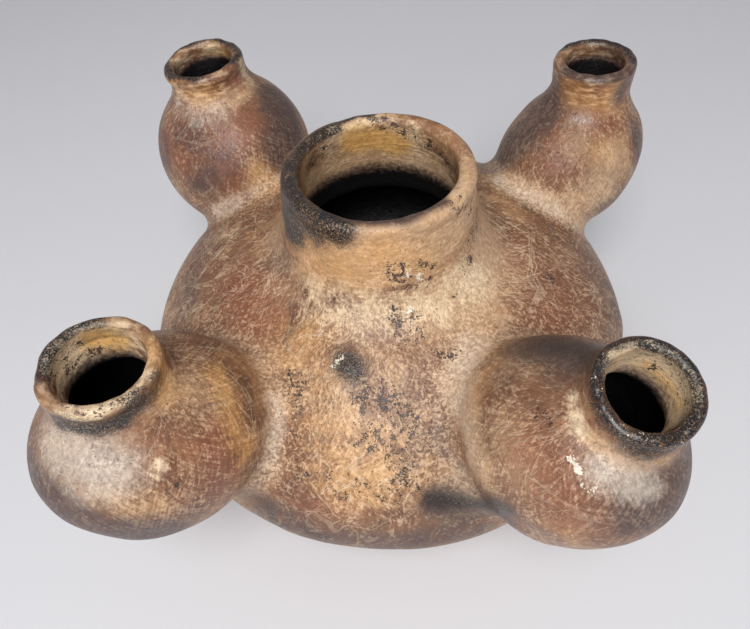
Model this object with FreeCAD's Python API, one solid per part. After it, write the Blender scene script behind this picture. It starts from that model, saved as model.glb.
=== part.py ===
import FreeCAD, Part
import math
import os

# Hand-built earthenware vessel: a squat hollow chamber with a wide neck, and four small spouted
# jars luted to its shoulder. Lengths in millimetres, angles in degrees. The origin is the middle of
# the flat resting place, Z points up, and the front pair of jars looks towards -Y.

Vector = FreeCAD.Vector
up = Vector(0, 0, 1)

# Chamber: a flattened round body, cut flat where it rests
body_radius = 120.0
body_half_height = 68.2
flat_depth = 2.8
body_wall = 6.5
floor_thickness = 8.0
bowl_seam_drop = 15.4
body_middle_height = body_half_height - flat_depth
body_top_height = body_middle_height + body_half_height
bowl_seam_height = body_middle_height - bowl_seam_drop

# Central neck and its rolled lip: heights are counted from the top of the chamber's round form
neck_foot_drop = 7.6
neck_foot_radius = 45.0
neck_top_radius = 40.4
neck_wall = 6.0
neck_blend = 14.0
neck_seam_rise = 9.4
rim_rise = 36.8
neck_foot_height = body_top_height - neck_foot_drop
neck_seam_height = body_top_height + neck_seam_rise
rim_height = body_top_height + rim_rise
rim_lip_height = 9.0
rim_lip_width = 6.2
rim_lip_radius = 39.4
rim_lean_angle = 2.6
rim_lean_compass = 82.0

# What all four jars share
pod_wall = 6.0
spout_wall = 5.0
lip_height = 7.5
lip_width = 5.8
joint_blend = 9.0
spout_blend = 7.0
passage_radius = 19.0
pod_rise_angle = 27.0
collar_margin = 7.0
collar_seam_setback = 9.0
spout_foot_share = 0.88
spout_root_share = 0.5
passage_length_share = 1.5

# How far cutting shapes run past what they cut, and how near a joint's edge lies to both skins
overrun = 30.0
edge_match = 0.013

# Each jar: the compass angle of its pod, where on the shoulder it stands (the angle of that point
# on the chamber's oval outline) and how far its middle stands off the skin there, the pod's radius
# and half its length along the slanted axis, then the lip's compass angle, how far out from the
# pod's middle and how high above the pod its crest lies, its radius and its lean
jars = {
    "front_left": {
        "pod_angle": 229.4, "shoulder_angle": 26.7, "pod_stand": 26.7,
        "pod_radius": 38.9, "pod_half_length": 47.9,
        "lip_angle": 228.9, "lip_out": 4.2, "lip_rise": 12.4, "lip_radius": 21.2,
        "lean_out_angle": -3.0, "lean_side_angle": 1.6, "spout_seam_drop": 17.5,
    },
    "front_right": {
        "pod_angle": 310.3, "shoulder_angle": 30.0, "pod_stand": 19.2,
        "pod_radius": 37.3, "pod_half_length": 47.0,
        "lip_angle": 313.8, "lip_out": 18.0, "lip_rise": 10.5, "lip_radius": 18.9,
        "lean_out_angle": 14.5, "lean_side_angle": -6.3, "spout_seam_drop": 18.5,
    },
    "rear_left": {
        "pod_angle": 138.3, "shoulder_angle": 29.1, "pod_stand": 23.8,
        "pod_radius": 41.6, "pod_half_length": 44.3,
        "lip_angle": 138.5, "lip_out": 9.0, "lip_rise": 10.7, "lip_radius": 20.8,
        "lean_out_angle": 2.4, "lean_side_angle": 3.7, "spout_seam_drop": 20.0,
    },
    "rear_right": {
        "pod_angle": 40.7, "shoulder_angle": 28.6, "pod_stand": 21.5,
        "pod_radius": 35.3, "pod_half_length": 43.0,
        "lip_angle": 42.1, "lip_out": 11.5, "lip_rise": 17.3, "lip_radius": 19.9,
        "lean_out_angle": -0.7, "lean_side_angle": 1.8, "spout_seam_drop": 21.0,
    },
}


def at(radius, height):
    """A point of an outline in the plane that is turned about the upright axis."""
    return Vector(radius, 0, height)


def line(start, end):
    return Part.LineSegment(start, end).toShape()


def half_ellipse(radius, half_length, height):
    """Half an ellipse from the foot of its upright axis round its widest point to the top."""
    middle = at(0, height)
    side = at(radius, height)
    pole = at(0, height + half_length)
    if radius >= half_length:
        ellipse = Part.Ellipse(side, pole, middle)
        return Part.Arc(ellipse, -math.pi / 2, math.pi / 2).toShape()
    ellipse = Part.Ellipse(pole, side, middle)
    return Part.Arc(ellipse, 0, math.pi).toShape()


def turned(edges):
    """The solid that a closed outline sweeps in a full turn about the upright axis."""
    outline = Part.Wire(Part.sortEdges(edges)[0])
    return Part.Face(outline).revolve(Vector(0, 0, 0), up, 360)


def spheroid(radius, half_length, height):
    """A round form about the upright axis, its middle at the given height."""
    axis = line(at(0, height - half_length), at(0, height + half_length))
    return turned([half_ellipse(radius, half_length, height), axis])


def squat_body(radius, half_height, flat_height):
    """The chamber's flattened round form, cut level at the given height."""
    size = 2 * (radius + overrun)
    below = Part.makeBox(size, size, size, Vector(-size / 2, -size / 2, flat_height - size))
    return spheroid(radius, half_height, body_middle_height).cut(below)


def placed(shape, origin, axis):
    """The shape moved to origin, with its upright axis turned to point along axis."""
    placement = FreeCAD.Placement(origin, FreeCAD.Rotation(up, axis))
    return shape.transformed(placement.toMatrix())


def placed_pod(shape, origin, axis):
    """The shape moved to origin and laid along axis, with its seam line on the underside."""
    sideways = axis.cross(up)
    underside = sideways.cross(axis).negative()
    turn = FreeCAD.Rotation(underside, axis.cross(underside), axis, "ZXY")
    return shape.transformed(FreeCAD.Placement(origin, turn).toMatrix())


def compass(angle):
    radians = math.radians(angle)
    return Vector(math.cos(radians), math.sin(radians), 0)


def rolled_lip(outer_radius, width, height, foot_inner, foot_outer):
    """A lip about the upright axis, its crest at the origin's level, on a foot ring below."""
    crown = width / 2
    inner_radius = outer_radius - width
    middle = at(outer_radius - crown, -crown)
    top = at(outer_radius - crown, 0)
    outside = at(outer_radius, -crown)
    inside = at(inner_radius, -crown)
    swell = (height - crown) / 2
    outer_side = Part.BezierCurve()
    outer_side.setPoles([at(foot_outer, -height), at(foot_outer, -height + swell),
                         at(outer_radius, -crown - swell), outside])
    inner_side = Part.BezierCurve()
    inner_side.setPoles([inside, at(inner_radius, -crown - swell),
                         at(foot_inner, -height + swell), at(foot_inner, -height)])
    slant = math.sqrt(0.5)
    crest_out = Part.Arc(outside, middle + at(slant * crown, slant * crown), top)
    crest_in = Part.Arc(top, middle + at(-slant * crown, slant * crown), inside)
    edges = [
        outer_side.toShape(),
        crest_out.toShape(),
        crest_in.toShape(),
        inner_side.toShape(),
        line(at(foot_inner, -height), at(foot_outer, -height)),
    ]
    return turned(edges)


def joint_edges(joined, first, second):
    """The edges of the joined solid that lie on the skins of both solids it was made of."""
    found = []
    for edge in joined.Edges:
        middle = Part.Vertex(edge.valueAt((edge.FirstParameter + edge.LastParameter) / 2))
        on_first = middle.distToShape(first.Shells[0])[0] < edge_match
        on_second = middle.distToShape(second.Shells[0])[0] < edge_match
        if on_first and on_second:
            found.append(edge)
    return found


def blended(first, second, radius):
    """Two solids joined, with a hollow fillet smoothed over the joint between them."""
    joined = first.fuse(second)
    return joined.makeFillet(radius, joint_edges(joined, first, second))


def half_space(origin, axis):
    """A block that fills the side of a plane that axis points to."""
    size = 2 * (body_radius + rim_height)
    block = Part.makeBox(size, size, size, Vector(-size / 2, -size / 2, 0))
    return placed(block, origin, axis)


def pod_place(jar):
    """Reach from the upright axis and height of a pod's middle, off the chamber's oval outline."""
    around = math.radians(jar["shoulder_angle"])
    steepness = math.atan2(body_radius * math.sin(around), body_half_height * math.cos(around))
    reach = body_radius * math.cos(around) + jar["pod_stand"] * math.cos(steepness)
    rise = body_half_height * math.sin(around) + jar["pod_stand"] * math.sin(steepness)
    return reach, body_middle_height + rise


def jar_frame(jar):
    """Where a jar's pod and lip stand and the directions that they point in."""
    outward = compass(jar["pod_angle"])
    rise = math.radians(pod_rise_angle)
    pod_reach, pod_height = pod_place(jar)
    pod_middle = outward * pod_reach + up * pod_height
    pod_axis = outward * math.cos(rise) + up * math.sin(rise)
    lip_outward = compass(jar["lip_angle"])
    lip_sideways = up.cross(lip_outward)
    lip_reach = pod_reach + jar["lip_out"]
    lip_top_height = pod_height + jar["pod_radius"] + jar["lip_rise"]
    lip_top = lip_outward * lip_reach + up * lip_top_height
    lean_out = math.tan(math.radians(jar["lean_out_angle"]))
    lean_side = math.tan(math.radians(jar["lean_side_angle"]))
    lip_axis = (up + lip_outward * lean_out + lip_sideways * lean_side).normalize()
    return pod_middle, pod_axis, lip_top, lip_axis


def rim_frame():
    """The middle of the central lip's crest and the direction that it faces."""
    lean = math.tan(math.radians(rim_lean_angle))
    return at(0, rim_height), (up + compass(rim_lean_compass) * lean).normalize()


def neck_cone(inset):
    """The central neck as a cone from inside the chamber up to the crest, drawn in by inset."""
    taper = (neck_foot_radius - neck_top_radius) / (rim_height - rim_lip_height - neck_foot_height)
    foot = neck_foot_radius + taper * (neck_foot_height - body_middle_height)
    top = neck_foot_radius - taper * (rim_height + rim_lip_height - neck_foot_height)
    length = rim_height + rim_lip_height - body_middle_height
    return Part.makeCone(foot - inset, top - inset, length, at(0, body_middle_height))


def spout_foot_radius(jar):
    return jar["lip_radius"] * spout_foot_share


def lip_foot_radius(jar):
    """Outer radius of the spout where it takes the lip."""
    return jar["lip_radius"] - (lip_width - spout_wall) / 2


def spout_cone(jar, lip_top, lip_axis, inset):
    """The spout as a cone from inside the pod up to the lip, drawn in all round by inset."""
    length = jar["spout_seam_drop"] + jar["pod_radius"] * spout_root_share
    foot = spout_foot_radius(jar) - inset
    top = lip_foot_radius(jar) - inset
    cone = Part.makeCone(foot, top, length - lip_height)
    return placed(cone, lip_top - lip_axis * length, lip_axis)


def outer_form():
    """The outside of the whole vessel up to the lips, as one solid with blended joints."""
    body = squat_body(body_radius, body_half_height, 0)
    rim_top, rim_axis = rim_frame()
    form = blended(body, neck_cone(0), neck_blend)
    form = form.cut(half_space(rim_top - rim_axis * rim_lip_height, rim_axis))
    for jar in jars.values():
        pod_middle, pod_axis, lip_top, lip_axis = jar_frame(jar)
        pod = spheroid(jar["pod_radius"], jar["pod_half_length"], 0)
        form = blended(form, placed_pod(pod, pod_middle, pod_axis), joint_blend)
        form = blended(form, spout_cone(jar, lip_top, lip_axis, 0), spout_blend)
    return form


def inner_form():
    """The hollow of the whole vessel: chamber, neck, pods, the passages to them and the spouts."""
    hollow = squat_body(body_radius - body_wall, body_half_height - body_wall, floor_thickness)
    hollow = hollow.fuse(neck_cone(neck_wall))
    for jar in jars.values():
        pod_middle, pod_axis, lip_top, lip_axis = jar_frame(jar)
        pod = spheroid(jar["pod_radius"] - pod_wall, jar["pod_half_length"] - pod_wall, 0)
        passage_length = jar["pod_half_length"] * passage_length_share
        passage = Part.makeCylinder(passage_radius, passage_length)
        hollow = hollow.fuse(placed_pod(pod, pod_middle, pod_axis))
        hollow = hollow.fuse(placed(passage, pod_middle, -pod_axis))
        hollow = hollow.fuse(spout_cone(jar, lip_top, lip_axis, spout_wall))
    return hollow


def write(name, shape):
    solids = shape.Solids
    if len(solids) == 1:
        shape = solids[0]
    print(name, len(solids), round(shape.Volume), shape.isValid())
    shape.exportStep("parts/" + name + ".step")


def main():
    os.makedirs("parts", exist_ok=True)
    wall = outer_form().cut(inner_form())

    neck_cutter = half_space(at(0, neck_seam_height), up)
    core = Part.makeCylinder(neck_foot_radius + neck_blend, rim_height, at(0, body_middle_height))
    write("central_neck", wall.common(neck_cutter.common(core)))
    wall = wall.cut(neck_cutter.common(core))
    rim_top, rim_axis = rim_frame()
    foot_inner = neck_top_radius - neck_wall
    lip = rolled_lip(rim_lip_radius, rim_lip_width, rim_lip_height, foot_inner, neck_top_radius)
    write("central_lip", placed(lip, rim_top, rim_axis))

    for name, jar in jars.items():
        pod_middle, pod_axis, lip_top, lip_axis = jar_frame(jar)
        collar_seam = pod_middle - pod_axis * collar_seam_setback
        outside = half_space(collar_seam, pod_axis)
        small_jar = wall.common(outside)
        wall = wall.cut(outside)

        spout_side = half_space(lip_top - lip_axis * jar["spout_seam_drop"], lip_axis)
        write("bulb_" + name, small_jar.cut(spout_side))
        write("spout_" + name, small_jar.common(spout_side))
        foot_outer = lip_foot_radius(jar)
        lip = rolled_lip(jar["lip_radius"], lip_width, lip_height,
                         foot_outer - spout_wall, foot_outer)
        write("lip_" + name, placed(lip, lip_top, lip_axis))

        collar_radius = jar["pod_radius"] + collar_margin
        collar_middle = pod_middle - pod_axis * (2 * collar_seam_setback)
        collar = Part.makeSphere(collar_radius, collar_middle)
        write("luting_ring_" + name, wall.common(collar))
        wall = wall.cut(collar)

    above_seam = half_space(at(0, bowl_seam_height), up)
    write("shoulder_dome", wall.common(above_seam))
    write("base_bowl", wall.cut(above_seam))


main()
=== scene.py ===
import math

import bpy
import numpy as np
from mathutils import Matrix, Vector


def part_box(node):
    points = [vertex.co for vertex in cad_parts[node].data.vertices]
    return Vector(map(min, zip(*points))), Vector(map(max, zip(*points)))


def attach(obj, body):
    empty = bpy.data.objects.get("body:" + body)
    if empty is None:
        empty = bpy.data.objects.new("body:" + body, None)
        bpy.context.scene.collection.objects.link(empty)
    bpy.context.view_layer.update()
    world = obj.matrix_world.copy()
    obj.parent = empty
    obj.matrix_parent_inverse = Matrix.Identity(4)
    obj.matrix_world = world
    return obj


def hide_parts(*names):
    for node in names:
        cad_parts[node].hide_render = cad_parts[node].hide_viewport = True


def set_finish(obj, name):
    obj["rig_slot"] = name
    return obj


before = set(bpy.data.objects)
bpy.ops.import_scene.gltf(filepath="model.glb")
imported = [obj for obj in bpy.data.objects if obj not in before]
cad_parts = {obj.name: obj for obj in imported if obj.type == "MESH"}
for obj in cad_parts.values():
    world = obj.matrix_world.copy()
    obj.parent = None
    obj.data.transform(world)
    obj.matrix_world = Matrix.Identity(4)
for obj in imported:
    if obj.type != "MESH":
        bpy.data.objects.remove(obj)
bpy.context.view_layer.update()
print("frame loaded", len(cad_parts), "nodes")

# The vessel is worked out in millimetres and turned to metres when a mesh is made.
# A form is a function of points that gives the distance to its skin, less than nought inside.
metre = 1000.0
fullTurn = 2 * math.pi
up = np.array([0.0, 0.0, 1.0])


def lengths(v):
    return np.sqrt((v * v).sum(-1))


def unit(v):
    return v / lengths(v)[..., None]


def compass(angle):
    return np.array([math.cos(math.radians(angle)), math.sin(math.radians(angle)), 0.0])


def ease(low, high, x):  # 0 at low, 1 at high, an S between, whichever is greater
    t = np.clip((x - low) / (high - low), 0, 1)
    return t * t * (3 - 2 * t)


def ovalGap(p, middle, axis, radius, halfLength):
    # distance to a round form turned about an axis: k(k-1)/g, where k is the size of the oval
    # through the point (1 on the skin) and g is how steeply k squared, halved, grows there
    q = p - middle
    along = q @ axis
    across = np.sqrt(np.maximum((q * q).sum(-1) - along ** 2, 1e-9))
    k = np.hypot(across / radius, along / halfLength)
    g = np.hypot(across / radius ** 2, along / halfLength ** 2)
    return k * (k - 1) / np.maximum(g, 1e-9)


def coneGap(p, foot, axis, footRadius, topRadius, length, barrel=0.0):
    # distance to a cone's side, bellied out by barrel half way up, or to its foot's plane below
    q = p - foot
    along = q @ axis
    across = np.sqrt(np.maximum((q * q).sum(-1) - along ** 2, 1e-9))
    share = np.clip(along / length, 0, 1)
    side = across - footRadius - (topRadius - footRadius) * along / length
    side = side - barrel * np.sin(math.pi * share)
    return np.maximum(side / math.hypot(1, (topRadius - footRadius) / length), -along)


def roundJoin(a, b, radius):
    # two forms as one, with a hollow fillet of that radius where they meet
    return np.maximum(radius, np.minimum(a, b)) - np.hypot(
        np.maximum(radius - a, 0), np.maximum(radius - b, 0))


# What the hand leaves: long shallow waves in all directions, so that no wall is quite true
hand = {"seed": 11, "waves": 26, "longest": 130.0, "shortest": 13.0, "depth": 1.2,
        "squeeze": 0.8, "trueBelow": 8.0}
handRandom = np.random.default_rng(hand["seed"])
handWays = unit(handRandom.normal(size=(hand["waves"], 3)))
handLengths = np.geomspace(hand["longest"], hand["shortest"], hand["waves"])
handStarts = handRandom.uniform(0, fullTurn, hand["waves"])
handTurns = (handWays / handLengths[:, None]).T * fullTurn


def handRelief(p):
    # how far the skin lies in from the true form: the sum of sine waves as deep as they are long,
    # squeezed between nought and the full depth, and nought near the resting face
    total = np.sin(p @ handTurns + handStarts) @ (handLengths / hand["longest"])
    inward = hand["depth"] * 0.5 * (1 + np.tanh(hand["squeeze"] * total))
    return inward * ease(0, hand["trueBelow"], p[..., 2])


# How often a stretch is halved, to find the skin along a ray and an edge along the skin
halvings = {"ray": 22, "edge": 20}


def castRays(form, origin, way, reach):
    # where each ray leaves the form: the stretch that holds the skin is halved again and again
    near = np.zeros(way.shape[:-1])
    far = np.full(way.shape[:-1], reach)
    for _ in range(halvings["ray"]):
        middle = (near + far) / 2
        inside = form(origin + way * middle[..., None]) < 0
        near = np.where(inside, middle, near)
        far = np.where(inside, far, middle)
    return origin + way * ((near + far) / 2)[..., None]


def slopeOf(form, p, step=0.2):
    # the way in which a form's distance grows, by differences each side
    sides = [(form(p + step * axis) - form(p - step * axis)) for axis in np.eye(3)]
    return unit(np.stack(sides, -1))


def leaned(angle, pole, sides):  # rays that stand at an angle to a pole, one column per side
    return np.cos(angle)[..., None] * pole + np.sin(angle)[..., None] * sides


def meetingAngle(form, cut, origin, pole, sides, low, high, reach):
    # the angle from the pole at which the skin crosses a cut, by halving, for each column
    low = np.full(sides.shape[:-1], low)
    high = np.full(sides.shape[:-1], high)
    for _ in range(halvings["edge"]):
        middle = (low + high) / 2
        before = cut(castRays(form, origin, leaned(middle, pole, sides), reach)) < 0
        low = np.where(before, middle, low)
        high = np.where(before, high, middle)
    return (low + high) / 2


def mixed(a, b, share):
    return a + (b - a) * share


# Central chamber, and the neck on it
chamber = {"halfHeight": 68.2, "flatDepth": 2.8, "wall": 6.5, "floor": 8.0, "footRounding": 2.5,
           "columns": 384, "domeRows": 92, "bowlRows": 54, "innerRows": 30, "reach": 175.0,
           "holeCells": 9, "spreadCells": 28}  # the block of cells at a hole, and its surroundings
chamber["radius"] = (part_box("shoulder_dome")[1].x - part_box("shoulder_dome")[0].x) * metre / 2
chamberMiddle = up * (chamber["halfHeight"] - chamber["flatDepth"])
chamberTop = chamberMiddle[2] + chamber["halfHeight"]
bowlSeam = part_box("base_bowl")[1].z * metre

# the neck's shade is where the painted shade inside it begins and is full, counted down from the
# rim
neck = {"footDrop": 7.6, "footRadius": 45.0, "topRadius": 41.4, "wall": 8.0, "blend": 14.0,
        "rimRise": 36.8, "lipHeight": 9.0, "lean": 2.6, "leanCompass": 82.0, "barrel": 1.3,
        "rows": 22, "innerBlend": 6.0, "shade": (19, 42), "insideSkin": 2.5}
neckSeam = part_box("central_neck")[0].z * metre
rimTop = up * (chamberTop + neck["rimRise"])
rimAxis = unit(up + compass(neck["leanCompass"]) * math.tan(math.radians(neck["lean"])))
neckTop = rimTop - rimAxis * neck["lipHeight"]
neckAxis = unit(neckTop - chamberMiddle)
neckLength = float(lengths(neckTop - chamberMiddle))
neckTaper = (neck["footRadius"] - neck["topRadius"]) / (neckTop[2] - chamberTop + neck["footDrop"])
neckRoot = neck["topRadius"] + neckTaper * neckLength


def chamberForm(p):
    return ovalGap(p, chamberMiddle, up, chamber["radius"], chamber["halfHeight"])


def neckForm(p):  # no higher than the plane of its rim
    side = coneGap(p, chamberMiddle, neckAxis, neckRoot, neck["topRadius"], neckLength,
                   neck["barrel"])
    return np.maximum(side, (p - rimTop) @ rimAxis)


def domeForm(p):  # chamber and neck with the hollow between them, before the hand's relief
    return roundJoin(chamberForm(p), neckForm(p), neck["blend"])


def domeSkin(p):
    return domeForm(p) + handRelief(p)


def bowlSkin(p):  # the chamber's underside, cut flat with a softened edge
    flat = -p[..., 2]
    return -roundJoin(-(chamberForm(p) + handRelief(p)), -flat, chamber["footRounding"])


def chamberHollow(p):
    inset = chamber["wall"]
    hollow = ovalGap(p, chamberMiddle, up, chamber["radius"] - inset, chamber["halfHeight"] - inset)
    well = coneGap(p, chamberMiddle, neckAxis, neckRoot - neck["wall"],
                   neck["topRadius"] - neck["wall"], neckLength, neck["barrel"])
    hollow = roundJoin(hollow, well, neck["innerBlend"])
    return -roundJoin(-hollow, p[..., 2] - chamber["floor"], chamber["footRounding"])


# The four small jars. Compass angles and leans in degrees, the rest in millimetres.
jarShared = {"podWall": 6.0, "spoutWall": 5.0, "lipHeight": 7.5, "lipWidth": 5.8, "joint": 9.0,
             "spoutBlend": 7.0, "innerBlend": 4.0, "passage": 19.0, "rise": 27.0, "setback": 11.0,
             "spoutFoot": 0.88, "funnel": 1.7, "spoutRoot": 0.5, "lift": 0.05, "sagDepth": 30.0,
             "ringLean": 0.6, "ringMiddle": 18.0, "ringMargin": 8.0, "deep": 49.0,
             "ringReach": 150.0, "bulbReach": 92.0, "boreReach": 60.0, "insideSkin": 2.0,
             "columns": 256, "ringRows": 26, "underRows": 8, "passageRows": 9, "bulbRows": 104,
             "innerRows": 30, "spoutRows": 14}
# each lean is outwards and sideways; sag is how far the pod hangs, thick the lip's width, and
# shade where the painted shade inside the mouth begins and is full, counted down from the lip
jars = {
    "front_left": {"pod": 229.4, "shoulder": 26.7, "stand": 26.7, "radius": 39.5, "half": 47.9,
                   "lip": 228.9, "out": 4.2, "lipRise": 11.8, "lipRadius": 21.2,
                   "leanOut": -3.0, "leanSide": 1.6, "drop": 17.5,
                   "sag": 3.2, "thick": 4.8, "shade": (6, 26)},
    "front_right": {"pod": 310.3, "shoulder": 30.0, "stand": 19.2, "radius": 38.3, "half": 48.0,
                    "lip": 313.8, "out": 18.0, "lipRise": 9.5, "lipRadius": 18.9,
                    "leanOut": 14.5, "leanSide": -6.3, "drop": 18.5,
                    "sag": 6.0, "thick": 5.0, "shade": (6, 34)},
    "rear_left": {"pod": 138.3, "shoulder": 29.1, "stand": 23.8, "radius": 41.6, "half": 44.3,
                  "lip": 138.5, "out": 9.0, "lipRise": 10.7, "lipRadius": 20.8,
                  "leanOut": 2.4, "leanSide": 3.7, "drop": 17.5,
                  "sag": 0.5, "thick": 5.6, "shade": (3, 15)},
    "rear_right": {"pod": 40.7, "shoulder": 28.6, "stand": 21.5, "radius": 35.3, "half": 43.0,
                   "lip": 42.1, "out": 11.5, "lipRise": 17.3, "lipRadius": 19.9,
                   "leanOut": -0.7, "leanSide": 1.8, "drop": 19.0,
                   "sag": 0.5, "thick": 5.6, "shade": (3, 15)},
}


def placeJar(jar):
    # the pod stands off a point of the chamber's oval outline, square to the skin there
    around = math.radians(jar["shoulder"])
    radius, half = chamber["radius"], chamber["halfHeight"]
    steep = math.atan2(radius * math.sin(around), half * math.cos(around))
    reach = radius * math.cos(around) + jar["stand"] * math.cos(steep)
    height = chamberMiddle[2] + half * math.sin(around) + jar["stand"] * math.sin(steep)
    outward, rise = compass(jar["pod"]), math.radians(jarShared["rise"])
    jar["podMiddle"] = outward * reach + up * height
    jar["podAxis"] = outward * math.cos(rise) + up * math.sin(rise)
    lipOutward = compass(jar["lip"])
    lipHeight = height + jar["radius"] + jar["lipRise"]
    jar["lipTop"] = lipOutward * (reach + jar["out"]) + up * lipHeight
    jar["lipAxis"] = unit(up + lipOutward * math.tan(math.radians(jar["leanOut"]))
                          + np.cross(up, lipOutward) * math.tan(math.radians(jar["leanSide"])))
    jar["spoutLength"] = jar["drop"] + jarShared["spoutRoot"] * jar["radius"]
    jar["footOuter"] = jar["lipRadius"] - (jarShared["lipWidth"] - jarShared["spoutWall"]) / 2
    # the two seam planes, the line where they cross, and each plane's way out from that line;
    # the collar's plane leans from square to the pod towards the slope of the chamber's skin
    slope = outward * math.cos(steep) + up * math.sin(steep)
    jar["ringAxis"] = unit(mixed(jar["podAxis"], slope, jarShared["ringLean"]))
    jar["ringSeam"] = jar["podMiddle"] - jar["podAxis"] * jarShared["setback"]
    jar["spoutSeam"] = jar["lipTop"] - jar["lipAxis"] * jar["drop"]
    hinge = unit(np.cross(jar["ringAxis"], jar["lipAxis"]))
    rows = np.array([jar["ringAxis"], jar["lipAxis"], hinge])
    levels = [jar["ringAxis"] @ jar["ringSeam"], jar["lipAxis"] @ jar["spoutSeam"],
              hinge @ jar["ringSeam"]]
    jar["hinge"] = hinge
    jar["crossing"] = np.linalg.solve(rows, levels)
    jar["ringOut"] = unit(jar["ringSeam"] - jar["crossing"])
    toSpout = jar["spoutSeam"] - jar["crossing"]
    jar["slide"] = toSpout @ hinge
    jar["spoutOut"] = unit(toSpout - jar["slide"] * hinge)
    jar["deep"] = jar["ringSeam"] - jar["ringAxis"] * jarShared["deep"]
    turns = np.linspace(0, fullTurn, jarShared["columns"], endpoint=False)[:, None]
    jar["ringSides"] = np.cos(turns) * hinge + np.sin(turns) * jar["ringOut"]
    jar["spoutSides"] = np.cos(turns) * hinge + np.sin(turns) * jar["spoutOut"]


def podForm(p, jar, inset=0.0):  # its lower half hangs a little, as the soft clay did
    hung = jar["sag"] * ease(0, -jarShared["sagDepth"], p[..., 2] - jar["podMiddle"][2])
    return ovalGap(p + hung[..., None] * up, jar["podMiddle"], jar["podAxis"],
                   jar["radius"] - inset, jar["half"] - inset)


def spoutForm(p, jar, inset=0.0):
    length = jar["spoutLength"]
    foot = jar["lipRadius"] * jarShared["spoutFoot"] - inset * (jarShared["funnel"] if inset else 1)
    return coneGap(p, jar["lipTop"] - jar["lipAxis"] * length, jar["lipAxis"], foot,
                   jar["footOuter"] - inset, length - jarShared["lipHeight"])


def withJar(p, joined, jar):
    spout = np.maximum(spoutForm(p, jar), (p - jar["lipTop"]) @ jar["lipAxis"])
    joined = roundJoin(joined, podForm(p, jar), jarShared["joint"])
    return roundJoin(joined, spout, jarShared["spoutBlend"])


def jarForm(p, jar):
    return withJar(p, domeForm(p), jar)


def jarSkin(p, jar):
    return jarForm(p, jar) + handRelief(p)


def jarHollow(p, jar):
    pod = podForm(p, jar, jarShared["podWall"])
    return roundJoin(pod, spoutForm(p, jar, jarShared["spoutWall"]), jarShared["innerBlend"])


def passageForm(p, jar):  # the way from a pod to the chamber: the pod's own end, or a round bore
    q = p - jar["podMiddle"]
    along = q @ jar["podAxis"]
    across = np.sqrt(np.maximum((q * q).sum(-1) - along ** 2, 1e-9))
    return np.minimum(podForm(p, jar, jarShared["podWall"]), across - jarShared["passage"])


for jar in jars.values():
    placeJar(jar)


def wholeSkin(p):  # the outside of the whole vessel
    joined = domeForm(p)
    for jar in jars.values():
        joined = withJar(p, joined, jar)
    return joined + handRelief(p)


print("forms placed")

# The camera stands where the photograph was taken from
camera = {"place": (27.5, -213.3, 338.1), "down": 51.043, "yaw": 9.140, "roll": 5.215,
          "focalPixels": 650.0, "width": 750.0, "height": 629.0, "sensor": 36.0,
          "nearest": 0.01, "farthest": 50}
# how a sight line is walked: where it starts, how often, and the share of the distance each time
sight = {"start": 120.0, "steps": 46, "share": 0.88}


def cameraAxes():
    # forward, rightward and downward ways of the picture, turned by yaw, pitch and roll in turn
    down, yaw, roll = (math.radians(camera[k]) for k in ("down", "yaw", "roll"))
    forward = np.array([-math.sin(yaw) * math.cos(down), math.cos(yaw) * math.cos(down),
                        -math.sin(down)])
    right = np.array([math.cos(yaw), math.sin(yaw), 0.0])
    lower = np.cross(forward, right)
    return (forward, math.cos(roll) * right + math.sin(roll) * lower,
            math.cos(roll) * lower - math.sin(roll) * right)


def makeCamera():
    forward, right, lower = cameraAxes()
    data = bpy.data.cameras.new("viewpoint")
    data.sensor_width = camera["sensor"]
    data.lens = camera["sensor"] * camera["focalPixels"] / camera["width"]
    data.clip_start, data.clip_end = camera["nearest"], camera["farthest"]
    thing = bpy.data.objects.new("viewpoint", data)
    turn = np.stack([right, -lower, -forward], 1)
    thing.matrix_world = Matrix.Translation(np.array(camera["place"]) / metre) @ Matrix(
        turn.tolist()).to_4x4()
    bpy.context.scene.collection.objects.link(thing)
    bpy.context.scene.camera = thing


def pickPlaces(pixels, form):
    # the points of a form that show at pixels of the photograph: each sight line is walked in
    # steps as long as the form's distance
    forward, right, lower = cameraAxes()
    pixels = np.array(pixels, float)
    across = (pixels[:, :1] - camera["width"] / 2) / camera["focalPixels"]
    downward = (pixels[:, 1:] - camera["height"] / 2) / camera["focalPixels"]
    ways = unit(forward + across * right + downward * lower)
    place = np.array(camera["place"])
    walked = np.full(len(pixels), sight["start"])
    for _ in range(sight["steps"]):
        walked += sight["share"] * form(place + ways * walked[:, None])
    return place + ways * walked[:, None]


# Where it stands: a plain pale floor that rises far behind, under one large soft light
stage = {"floorReach": 5.2, "flatOut": 1.1, "rise": 0.32, "columns": 96, "rows": 60}
light = {"top": (0.02, -0.76, 1.22), "topSize": 0.8, "topPower": 14.5,
         "front": (-0.5, -1.6, 0.9), "frontSize": 1.2, "frontPower": 3.6,
         "world": (0.80, 0.80, 0.82), "worldStrength": 0.40, "aim": (0, 0, 0.08)}


def makeFloor():
    # a round sheet: flat near the vessel, its height growing with the square of the way past that
    turns = np.linspace(0, fullTurn, stage["columns"], endpoint=False)
    outs = stage["floorReach"] * np.linspace(0, 1, stage["rows"])[1:] ** 2
    out, turn = np.meshgrid(outs, turns, indexing="ij")
    height = stage["rise"] * np.maximum(out - stage["flatOut"], 0) ** 2
    points = np.stack([out * np.cos(turn), out * np.sin(turn), height], -1).reshape(-1, 3)
    faces = gridFaces(stage["rows"] - 1, stage["columns"])
    middle = np.array([[0.0, 0.0, 0.0]])
    fan = fanFaces(0, len(points), stage["columns"])
    mesh = bpy.data.meshes.new("floor")
    mesh.from_pydata(np.concatenate([points, middle]).tolist(), [], faces.tolist() + fan.tolist())
    mesh.shade_smooth()
    floor = bpy.data.objects.new("floor", mesh)
    bpy.context.scene.collection.objects.link(floor)
    return floor


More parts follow.
